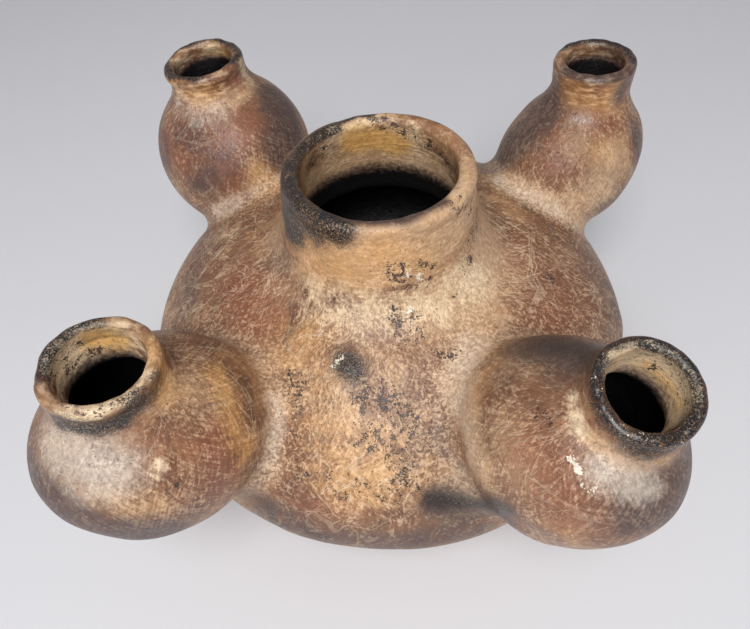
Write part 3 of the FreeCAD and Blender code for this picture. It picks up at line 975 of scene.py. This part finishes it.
def makeBulb(name, jar):
    skin, hollow = (lambda p: jarSkin(p, jar)), (lambda p: jarHollow(p, jar))
    outer = stationRows(skin, jar, jarShared["bulbRows"])
    inner = stationRows(hollow, jar, jarShared["innerRows"])[::-1]
    makeLoop("bulb_" + name, ["bulb_" + name], "jar_clay",
             [(outer, slopeOf(skin, outer)), (inner, -slopeOf(hollow, inner))], jar)


def makeSpout(name, jar):
    shared, axis, sides = jarShared, jar["lipAxis"], jar["spoutSides"]
    drop = np.linspace(jar["drop"], shared["lipHeight"], shared["spoutRows"])
    grid = (shared["spoutRows"], *sides.shape)
    origin = np.broadcast_to((jar["lipTop"] - drop[:, None] * axis)[:, None], grid)
    parts = []
    for form in (lambda p: jarSkin(p, jar), lambda p: jarHollow(p, jar)):
        skin = castRays(form, origin, np.broadcast_to(sides, grid), shared["boreReach"])
        parts.append((skin, slopeOf(form, skin)))
    (outer, facing), (inner, away) = parts
    makeLoop("spout_" + name, ["spout_" + name], "jar_clay",
             [(outer, facing), (inner[::-1], -away[::-1])], jar)
    return outer[-1], inner[-1]


def rolledProfile(lip):
    # radius from the lip's outer edge and height from its crest: a curve up the outer side, a
    # half circle over the crest and a curve down inside, each side an S from the foot to the roll
    t = np.linspace(0, 1, lip["sideRows"])
    crown = lip["width"] / 2
    swell = 3 * t * (1 - t) ** 2 * 0.5 + 3 * t ** 2 * (1 - t) * 0.5 + t ** 3
    height = -lip["height"] + (lip["height"] - crown) * swell
    across = t * t * (3 - 2 * t)
    turn = np.linspace(0, math.pi, lip["crestRows"])[1:-1]
    outer = lip["footOuter"] + (lip["radius"] - lip["footOuter"]) * across
    inside = lip["radius"] - lip["width"]
    inner = lip["footInner"] + (inside - lip["footInner"]) * across
    crest = lip["radius"] - crown + crown * np.cos(turn)
    radius = np.concatenate([outer, crest, inner[::-1]])
    rise = np.concatenate([height, -crown + crown * np.sin(turn), height[::-1]])
    outerShare = np.concatenate([1 - across, np.zeros(len(crest) + len(inner))])
    innerShare = np.concatenate([np.zeros(len(outer) + len(crest)), (1 - across)[::-1]])
    return radius, rise, outerShare, innerShare


def makeLip(name, node, slot, lip, top, axis, outerRow, innerRow, outerFacing, innerFacing,
            jar=None):
    # the profile turned about the lip's axis, its feet drawn onto the rows of clay below it,
    # its crest sunk and worn in here and there by waves round the rim
    radius, rise, outerShare, innerShare = rolledProfile(lip)
    flat = outerRow - top - ((outerRow - top) @ axis)[:, None] * axis
    ways = unit(flat)
    turns = np.arctan2(ways @ np.cross(axis, lip["zeroWay"]), ways @ lip["zeroWay"])
    handed = np.random.default_rng(lip["seed"])
    sunk, worn = np.zeros(len(turns)), np.zeros(len(turns))
    for count in range(1, rimWaves["count"] + 1):
        a, b = handed.uniform(0, fullTurn, 2)
        sunk += np.sin(count * turns + a) / count ** rimWaves["fall"]
        worn += np.sin(count * turns + b) / count ** rimWaves["fall"]
    sunk = lip["sink"] * 0.5 * (1 + np.tanh(rimWaves["squeeze"] * sunk))
    worn = lip["wear"] * 0.5 * (1 + np.tanh(rimWaves["squeeze"] * worn))
    for turn, spread, deep in lip["chips"]:
        apart = (turns - math.radians(turn) + math.pi) % fullTurn - math.pi
        sunk += deep * np.exp(-(apart * lip["radius"] / spread) ** 4)
    lifted = ease(-lip["height"], -1.0, rise)[:, None]
    points = top + ways * (radius[:, None, None] - (worn * lifted)[..., None])
    points += axis * (rise[:, None, None] - (sunk * lifted)[..., None])
    points += outerShare[:, None, None] * (outerRow - points[0])
    points += innerShare[:, None, None] * (innerRow - points[-1])
    normals = np.zeros_like(points)
    normals[0], normals[-1] = outerFacing, innerFacing
    return makeLoop(name, [node], slot, [(points, normals)], jar)


# Waves round a rim: how many, how fast they fall off, and how they are squeezed. A chip is its
# angle, its spread and its depth.
rimWaves = {"count": 21, "fall": 0.8, "squeeze": 0.6}
neckLip = {"radius": 40.9, "width": 7.5, "height": neck["lipHeight"],
           "footOuter": neck["topRadius"], "footInner": neck["topRadius"] - neck["wall"],
           "sideRows": 12, "crestRows": 18, "seed": 5, "sink": 0.9, "wear": 0.6,
           "chips": [(118, 5, 0.5), (262, 7, 0.4)],
           "zeroWay": unit(np.array([1.0, 0, 0]) - rimAxis[0] * rimAxis)}
jarLip = {"height": jarShared["lipHeight"], "sideRows": 10, "crestRows": 18, "sink": 0.9,
          "wear": 0.6, "firstSeed": 20}
lipChips = {"front_left": [(195, 5, 1.6), (70, 4, 0.7)], "front_right": [(300, 3, 0.6)],
            "rear_left": [(60, 4, 0.7), (170, 5, 0.8)], "rear_right": [(150, 5, 0.6)]}


def makeJars():
    for number, (name, jar) in enumerate(jars.items()):
        makeRing(name, jar)
        makeBulb(name, jar)
        outerRow, innerRow = makeSpout(name, jar)
        zeroWay = unit(np.array([1.0, 0, 0]) - jar["lipAxis"][0] * jar["lipAxis"])
        lip = dict(jarLip, radius=jar["lipRadius"], width=jar["thick"], footOuter=jar["footOuter"],
                   footInner=jar["footOuter"] - jarShared["spoutWall"],
                   seed=jarLip["firstSeed"] + number, chips=lipChips[name], zeroWay=zeroWay)
        makeLip("lip_" + name, "lip_" + name, "smoked_lip_clay", lip, jar["lipTop"], jar["lipAxis"],
                outerRow, innerRow, slopeOf(lambda p: jarSkin(p, jar), outerRow),
                -slopeOf(lambda p: jarHollow(p, jar), innerRow), jar)


# Colours of the clay, as light gives them back; the last is a black painted as shade deep inside
# the mouths
clay = {"tan": (0.50, 0.272, 0.125), "redBrown": (0.235, 0.105, 0.054),
        "brown": (0.100, 0.052, 0.035), "root": (0.82, 0.61, 0.40), "ochre": (0.67, 0.355, 0.125),
        "soot": (0.014, 0.014, 0.016), "cream": (0.86, 0.66, 0.43), "rust": (0.27, 0.088, 0.042),
        # the chalk white is dust in the hollows and a painted sheen on the pods' fronts
        "umber": (0.080, 0.046, 0.042), "pale": (0.71, 0.45, 0.255), "dustAndSheen": (0.68, 0.585, 0.49),
        "dust": (0.58, 0.43, 0.295), "speck": (0.034, 0.027, 0.029), "flake": (0.88, 0.80, 0.64),
        "amber": (0.80, 0.44, 0.13), "paintedHoleShade": (0.006, 0.005, 0.005)}
# How each body of clay differs; reach is the size of the form that the lines run over
finishes = {
    "chamber_clay": {"red": 0.045, "roots": 0.60, "rough": 0.42, "smoke": 0.0, "reach": 0.09},
    "joint_clay": {"red": 0.045, "roots": 0.42, "rough": 0.46, "smoke": 0.0, "reach": 0.038},
    "neck_clay": {"red": -0.03, "roots": 0.42, "rough": 0.44, "smoke": 0.0, "reach": 0.09},
    "jar_clay": {"red": 0.06, "roots": 0.30, "rough": 0.39, "smoke": 0.0, "reach": 0.038},
    "smoked_lip_clay": {"red": 0.03, "roots": 0.25, "rough": 0.34, "smoke": 0.22, "reach": 0.038},
}
# Noises: how many to a metre, how much detail, how rough and how bent
noises = {"broad": (15, 3), "middling": (60, 5, 0.62, 0.4), "fine": (520, 4, 0.7),
          "grain": (1500, 3, 0.7), "burnt": (42, 4, 0.6, 0.5), "haze": (34, 3, 0.6),
          "patches": (20, 3, 0.6), "rags": (1250, 3, 0.7), "ragClumps": (270, 3, 0.65),
          "chips": (1100, 3, 0.7), "chipClumps": (300, 2, 0.6), "pits": (900, 3, 0.6)}
# Ranges: a layer that goes from the first number to the second is shown from the third, or
# nothing, to the fourth, or in full
ranges = {"burnt": (0.80, 0.98), "clear": (0.0, 1.0, 1.0, 0.35), "haze": (0.63, 0.78, 0.0, 0.36),
          "patches": (0.30, 0.60, 0.35, 1.0), "dustyRoots": (0.0, 0.5, 0.85, 1.3),
          "dust": (0.15, 1.05, 0.0, 0.6), "lowDown": (0.03, 0.065, 0.3, 1.0),
          "smokedGrain": (0.50, 0.62, 1.0, 0.5), "smokedFine": (0.54, 0.70, 1.0, 0.75),
          "scraps": (0.0, 0.015), "lightGrain": (0.64, 0.76, 0.0, 0.35), "pits": (0.62, 0.70),
          "fineTone": (0.25, 0.75, 0.88, 1.12), "hairTone": (0.36, 0.64, 0.78, 1.18),
          # hollow, inside, dark and black lay the painted shade deep inside the mouths
          "hollow": (0.0, 0.8), "inside": (0.0, 0.15), "dark": (0.0, 0.5, 0.0, 0.75),
          "black": (0.35, 0.95)}
# Wear, and the painted sheen and light laid the same way: where its edge begins and is full, how
# much it covers and how ragged its edge is
wearAndPaintedLooks = {"pale": (0.10, 0.90, 0.72, 0.35), "rust": (0.10, 0.90, 0.75, 0.5),
             "ochre": (0.10, 0.90, 0.85, 0.45), "umber": (0.05, 0.85, 0.90, 0.6),
             "dustAndSheen": (0.10, 0.95, 0.62, 0.3), "cream": (0.10, 0.85, 0.85, 0.7),
             "amber": (0.10, 0.90, 0.9, 0.4), "soot": (0.0, 0.62, 1.0, 0.9)}
# Scraps: their noise, the noise of their clumps, the first one's share, and the value that the
# two have to pass where the kind is rare and where it is thick
scrapLooks = {"speck": ("rags", "ragClumps", 0.50, 0.660, 0.525),
              "flake": ("chips", "chipClumps", 0.4, 0.74, 0.50)}
# Streaks over a form: how many to a metre, how drawn out and how strong where forms meet
streakLooks = {"scale": 240, "along": 0.22, "contrast": 0.5}
hairLooks = {"scale": 800, "along": 0.10, "contrast": 0.8}
fibreLooks = {"slants": (24, -38), "streaks": 0.30, "even": 0.40, "evenScale": 0.8,
              "levelSqueeze": (0.3, 0.3, 1)}
# Pale threads: slant and squeeze of each set, how many to a metre and how wide; the loose ones
# are turned and stretched in space
threadSets = [(8, (1, 0.09), 300, 0.036), (34, (1, 0.11), 250, 0.032), (-30, (1, 0.10), 280, 0.033),
              (58, (1, 0.15), 330, 0.040), (-52, (1, 0.15), 220, 0.025), (0, (0.12, 1), 260, 0.032)]
looseSets = [((20, 35, 10), (1, 0.3, 1), 110, 0.018), ((-35, 60, 110), (0.3, 1, 1), 150, 0.024)]
threadLooks = {"cover": 0.05, "bend": 0.2, "looseCover": 0.12, "looseBend": 0.6,
               "looseShare": 0.5, "looseFade": -0.4, "most": 0.9}
bends = {"scale": 38, "detail": 2, "reach": 0.24}
ground = {"broad": 0.5, "middling": 0.5, "streak": 0.6, "redBelow": 0.40, "edge": 0.22,
          "burnt": 0.7}
tears = {"middling": 2.6, "hair": 2.2, "streak": 1.6, "less": -3.2}
hairyTears = {"hair": 2.6, "grain": 2.6, "less": -2.6}
gloss = {"threads": 0.6, "base": -0.08, "dull": 0.22, "fine": 0.16, "smoke": -0.12,
         "dustAndSheen": -0.08, "bending": 1.5}
# Relief: strength, and depth in metres
reliefs = {"clouds": (0.5, 0.0010), "grooves": (0.3, 0.0006), "hairs": (0.5, 0.0004),
           "threads": (0.5, 0.00025), "pits": (0.6, 0.0004)}
groovesToMetre = 520


class ClayNodes:
    # short words for the nodes that a clay is mixed from; each gives back its output

    def __init__(self, name):
        self.material = bpy.data.materials.new(name)
        self.material.use_nodes = True
        self.tree = self.material.node_tree
        self.surface = self.tree.nodes["Principled BSDF"]
        self.place = self.add("ShaderNodeTexCoord").outputs["Object"]
        self.way = self.add("ShaderNodeAttribute", attribute_name="way").outputs["Vector"]
        bend = self.add("ShaderNodeTexNoise")
        self.put(bend.inputs["Vector"], self.place)
        bend.inputs["Scale"].default_value = bends["scale"]
        bend.inputs["Detail"].default_value = bends["detail"]
        self.bend = bend.outputs["Color"]

    def add(self, kind, **settings):
        node = self.tree.nodes.new(kind)
        for key, value in settings.items():
            setattr(node, key, value)
        return node

    def put(self, socket, value):
        if hasattr(value, "links"):
            self.tree.links.new(value, socket)
        else:
            socket.default_value = value

    def sum(self, kind, *values):
        node = self.add("ShaderNodeMath", operation=kind)
        for socket, value in zip(node.inputs, values):
            self.put(socket, value)
        return node.outputs[0]

    def plus(self, first, second):
        return self.sum("ADD", first, second)

    def less(self, first, second):
        return self.sum("SUBTRACT", first, second)

    def times(self, first, second):
        return self.sum("MULTIPLY", first, second)

    def greater(self, first, second):
        return self.sum("MAXIMUM", first, second)

    def scaled(self, value, factor, added):  # the value times the factor, and the rest added
        return self.sum("MULTIPLY_ADD", value, factor, added)

    def blend(self, share, first, second):
        return self.scaled(self.less(second, first), share, first)

    def noise(self, scale, detail, rough=0.55, bend=0.0, place=None):
        node = self.add("ShaderNodeTexNoise")
        self.put(node.inputs["Vector"], place or self.place)
        for key, value in (("Scale", scale), ("Detail", detail), ("Roughness", rough),
                           ("Distortion", bend)):
            node.inputs[key].default_value = value
        return node.outputs["Fac"]

    def named(self, name):
        return self.noise(*noises[name])

    def turned(self, angles, stretch):
        node = self.add("ShaderNodeMapping")
        self.put(node.inputs["Vector"], self.place)
        node.inputs["Rotation"].default_value = [math.radians(a) for a in angles]
        node.inputs["Scale"].default_value = stretch
        return node.outputs["Vector"]

    def span(self, value, low, high, bottom=0.0, top=1.0):  # low to high becomes bottom to top
        node = self.add("ShaderNodeMapRange", interpolation_type="SMOOTHSTEP")
        for socket, number in zip(node.inputs, (value, low, high, bottom, top)):
            self.put(socket, number)
        return node.outputs[0]

    def ranged(self, value, name):
        return self.span(value, *ranges[name])

    def mix(self, share, first, second, kind="MIX"):
        node = self.add("ShaderNodeMix", data_type="RGBA", blend_type=kind)
        self.put(node.inputs["Factor"], share)
        for socket, colour in zip((node.inputs[6], node.inputs[7]), (first, second)):
            self.put(socket, (*colour, 1) if isinstance(colour, tuple) else colour)
        return node.outputs[2]

    def lay(self, share, kind):  # a share of one of the clay's colours over what is there
        self.colour = self.mix(share, self.colour, clay[kind])

    def layer(self, name):
        return self.add("ShaderNodeAttribute", attribute_name=name).outputs["Fac"]

    # this also gives how much painted sheen and painted light shows, laid like wear
    def worn(self, kind, torn):  # how much of a kind of wear shows, its edge torn by a noise
        low, high, most, ragged = wearAndPaintedLooks[kind]
        layer = self.layer(kind)
        edge = self.span(self.scaled(torn, ragged, layer), low, high)
        return self.times(edge, self.span(layer, 0.0, 0.25, 0.0, most))

    def strands(self, place, scale, width, cover, bend):
        # thin lines where a noise passes its middle value, kept only where another noise allows
        ridge = self.sum("ABSOLUTE", self.less(self.noise(scale, 1, 0.5, bend, place), 0.5))
        line = self.span(ridge, width, width * 0.3)
        other = self.noise(scale * 0.5, 1, 0.5, 0, place)
        return self.times(line, self.span(other, 0.60 - cover, 0.68 - cover))

    def flow(self, reach, slant, across, along):
        # the way round and down a form, in metres: round it at a slant, squeezed where drawn out
        bent = self.add("ShaderNodeVectorMath", operation="MULTIPLY_ADD")
        self.put(bent.inputs[0], self.bend)
        bent.inputs[1].default_value = [bends["reach"]] * 3
        self.put(bent.inputs[2], self.way)
        split = self.add("ShaderNodeSeparateXYZ")
        self.put(split.inputs[0], self.way)
        turn = self.add("ShaderNodeVectorRotate", rotation_type="Z_AXIS")
        self.put(turn.inputs["Vector"], bent.outputs[0])
        self.put(turn.inputs["Angle"], self.times(split.outputs[2], math.tan(math.radians(slant))))
        squeezed = self.add("ShaderNodeVectorMath", operation="MULTIPLY")
        self.put(squeezed.inputs[0], turn.outputs[0])
        squeezed.inputs[1].default_value = (reach * across, reach * across, reach * along)
        return squeezed.outputs[0]

    def bump(self, strength, depth, height, before):
        node = self.add("ShaderNodeBump")
        node.inputs["Strength"].default_value = strength
        node.inputs["Distance"].default_value = depth
        self.put(node.inputs["Height"], height)
        if before:
            self.put(node.inputs["Normal"], before)
        return node.outputs["Normal"]


def fibres(c, reach, looks):
    # streaks in two directions over the form, as the fingers and the fired-out roots left them,
    # with an even grain between; where forms meet only the grain, and level lines round the necks
    shared, scale, contrast = fibreLooks, looks["scale"], looks["contrast"]
    first, second = (c.noise(scale, 2, 0.6, 0.3, c.flow(reach, slant, 1, looks["along"]))
                     for slant in shared["slants"])
    evenScale = scale * shared["evenScale"]
    even = c.noise(evenScale, 3, 0.6, 0.6)
    flowing = c.scaled(c.plus(first, second), shared["streaks"], c.times(even, shared["even"]))
    level = c.noise(evenScale, 3, 0.6, 0.3, c.turned((0, 0, 0), shared["levelSqueeze"]))
    calm = c.scaled(c.blend(c.layer("turned"), even, level), contrast, 0.5 - contrast / 2)
    return c.blend(c.layer("along"), calm, flowing)


def threads(c, reach):
    # the sets of threads over a form, loose ones where they give way, and few low on the body
    looks, along, found = threadLooks, c.layer("along"), None
    for slant, squeezed, scale, width in threadSets:
        place = c.flow(reach, slant, *squeezed)
        strand = c.strands(place, scale, width, looks["cover"], looks["bend"])
        found = strand if found is None else c.greater(found, strand)
    loose = c.greater(*(c.strands(c.turned(angles, stretch), scale, width, looks["looseCover"],
                                  looks["looseBend"])
                        for angles, stretch, scale, width in looseSets))
    away = c.scaled(along, looks["looseFade"], looks["looseShare"])
    found = c.greater(c.times(found, along), c.times(loose, away))
    height = c.add("ShaderNodeSeparateXYZ")
    c.put(height.inputs[0], c.place)
    return c.times(found, c.ranged(height.outputs[2], "lowDown"))


def readNoises(c, reach):
    # the noises that several layers share, and two that tear the edges of the wear: broken is
    # drawn out along the streaks, hairy is finer
    c.middling, c.fine, c.grain = c.named("middling"), c.named("fine"), c.named("grain")
    c.streak, c.hair = fibres(c, reach, streakLooks), fibres(c, reach, hairLooks)
    drawn = c.scaled(c.hair, tears["hair"], c.scaled(c.streak, tears["streak"], tears["less"]))
    c.broken = c.scaled(c.middling, tears["middling"], drawn)
    speckled = c.scaled(c.grain, hairyTears["grain"], hairyTears["less"])
    c.hairy = c.scaled(c.hair, hairyTears["hair"], speckled)


def layGround(c, red):
    # burnished ground: golden tan and red-brown in clouds, with darker brown inside the red
    clouds = c.plus(c.times(c.named("broad"), ground["broad"]),
                    c.times(c.middling, ground["middling"]))
    clouds = c.scaled(c.less(c.streak, 0.5), ground["streak"], clouds)
    low = ground["redBelow"] + red
    c.colour = c.mix(c.span(clouds, low, low + ground["edge"]), clay["redBrown"], clay["tan"])
    burnt = c.ranged(c.scaled(c.streak, ground["streak"], c.named("burnt")), "burnt")
    c.lay(c.times(burnt, ground["burnt"]), "brown")
    return clouds


def layRoots(c, reach, share):
    # a fine haze of pale hairs, the threads over it, and dust in the hollows between forms
    clear = c.ranged(c.layer("umber"), "clear")
    haze = c.ranged(c.scaled(c.named("haze"), 0.3, c.hair), "haze")
    c.lay(c.times(haze, clear), "root")
    roots, dust = threads(c, reach), c.layer("dust")
    patchy = c.ranged(c.named("patches"), "patches")
    shown = c.times(roots, c.times(patchy, share))
    shown = c.times(shown, c.times(c.ranged(dust, "dustyRoots"), clear))
    c.lay(c.sum("MINIMUM", shown, threadLooks["most"]), "root")
    dusty = c.ranged(c.scaled(c.broken, 0.3, dust), "dust")
    c.lay(dusty, "dust")
    return roots, dusty


def laySmoke(c, clouds, share):
    # dense in the middle of a cloud, hairy at its edge, thin over the grain
    smoke = c.worn("soot", c.hairy)
    if share:
        smoke = c.greater(smoke, c.span(clouds, 0.52, 0.62, 0.0, share * 2))
    smoke = c.times(smoke, c.ranged(c.grain, "smokedGrain"))
    smoke = c.times(smoke, c.ranged(c.fine, "smokedFine"))
    c.lay(smoke, "soot")
    return smoke


def layScraps(c, kind):
    # scraps where two noises together pass a value, a lower one where more of the kind is marked
    pieces, clumps, share, rare, thick = scrapLooks[kind]
    both = c.scaled(c.named(pieces), share, c.times(c.named(clumps), 1 - share))
    needed = c.span(c.layer(kind), 0.0, 1.0, rare, thick)
    scraps = c.ranged(c.less(both, needed), "scraps")
    c.lay(c.times(scraps, 0.92), kind)
    return scraps


def layToneAndShade(c):
    # an uneven tone, and painted shade deep inside the mouths, umber first and then black
    tone = c.times(c.ranged(c.fine, "fineTone"), c.ranged(c.hair, "hairTone"))
    grey = c.add("ShaderNodeCombineColor")
    for socket in grey.inputs:
        c.put(socket, tone)
    c.colour = c.mix(1.0, c.colour, grey.outputs[0], "MULTIPLY")
    deep = c.layer("deep")
    hollow = c.ranged(c.scaled(c.less(c.fine, 0.5), 0.8, deep), "hollow")
    hollow = c.times(hollow, c.ranged(deep, "inside"))
    c.lay(c.ranged(hollow, "dark"), "umber")
    c.lay(c.ranged(hollow, "black"), "paintedHoleShade")


def makeClay(name, finish):
    c = ClayNodes(name)
    reach = finish["reach"]
    readNoises(c, reach)
    clouds = layGround(c, finish["red"])
    for kind in ("pale", "rust", "ochre", "umber"):
        c.lay(c.worn(kind, c.broken), kind)
    roots, dusty = layRoots(c, reach, finish["roots"])
    # the chalk white over that is dust with a painted sheen; then cream and amber
    sheenyDust, creamy, amber = (c.worn(kind, c.broken) for kind in ("dustAndSheen", "cream", "amber"))
    c.lay(sheenyDust, "dustAndSheen")
    c.lay(creamy, "cream")
    c.lay(amber, "amber")
    smoke = laySmoke(c, clouds, finish["smoke"])
    # black rags of old slip and white flakes, thick in the marked places and rare elsewhere
    specks = layScraps(c, "speck")
    layScraps(c, "flake")
    # light grains and dark pits
    c.lay(c.ranged(c.grain, "lightGrain"), "cream")
    pits = c.ranged(c.named("pits"), "pits")
    c.lay(c.times(pits, 0.5), "brown")
    layToneAndShade(c)
    c.put(c.surface.inputs["Base Color"], c.colour)
    # gloss: burnished where bare, dull where dust, threads and cream lie, shiny on thick smoke and
    # a little shiny under the painted sheen
    dull = c.greater(c.times(roots, gloss["threads"]), c.greater(creamy, dusty))
    rough = c.scaled(dull, gloss["dull"], finish["rough"] + gloss["base"])
    for layer, kind in ((c.fine, "fine"), (smoke, "smoke"), (sheenyDust, "dustAndSheen")):
        rough = c.scaled(layer, gloss[kind], rough)
    c.put(c.surface.inputs["Roughness"], rough)
    c.surface.inputs["IOR"].default_value = gloss["bending"]
    # relief: threads stand up a little, pits go in, and lines run round the spouts
    rings = c.add("ShaderNodeTexNoise", noise_dimensions="1D")
    c.put(rings.inputs["W"], c.layer("climb"))
    rings.inputs["Scale"].default_value = groovesToMetre
    heights = {"clouds": c.middling, "grooves": c.times(rings.outputs["Fac"], c.layer("turned")),
               "hairs": c.plus(c.fine, c.hair), "threads": roots,
               "pits": c.less(1.0, c.greater(pits, specks))}
    relief = None
    for kind, (strength, depth) in reliefs.items():
        relief = c.bump(strength, depth, heights[kind], relief)
    c.put(c.surface.inputs["Normal"], relief)
    return c.material


def makeFloorMaterial():
    material = bpy.data.materials.new("paleFloor")
    material.use_nodes = True
    surface = material.node_tree.nodes["Principled BSDF"]
    surface.inputs["Base Color"].default_value = (0.80, 0.80, 0.825, 1)
    surface.inputs["Roughness"].default_value = 0.6
    return material


makeCamera()
makeLight()
makeFloor().data.materials.append(makeFloorMaterial())
outerRow, innerRow = makeNeck()
makeLip("neckLip", "central_lip", "neck_clay", neckLip, rimTop, rimAxis, outerRow, innerRow,
        slopeOf(domeSkin, outerRow), -slopeOf(chamberHollow, innerRow))
makeBowl()
makeDome()
makeJars()

clays = {name: makeClay(name, finish) for name, finish in finishes.items()}
for piece in pieces.values():
    piece.data.materials.append(clays[piece["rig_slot"]])
print("clays mixed")
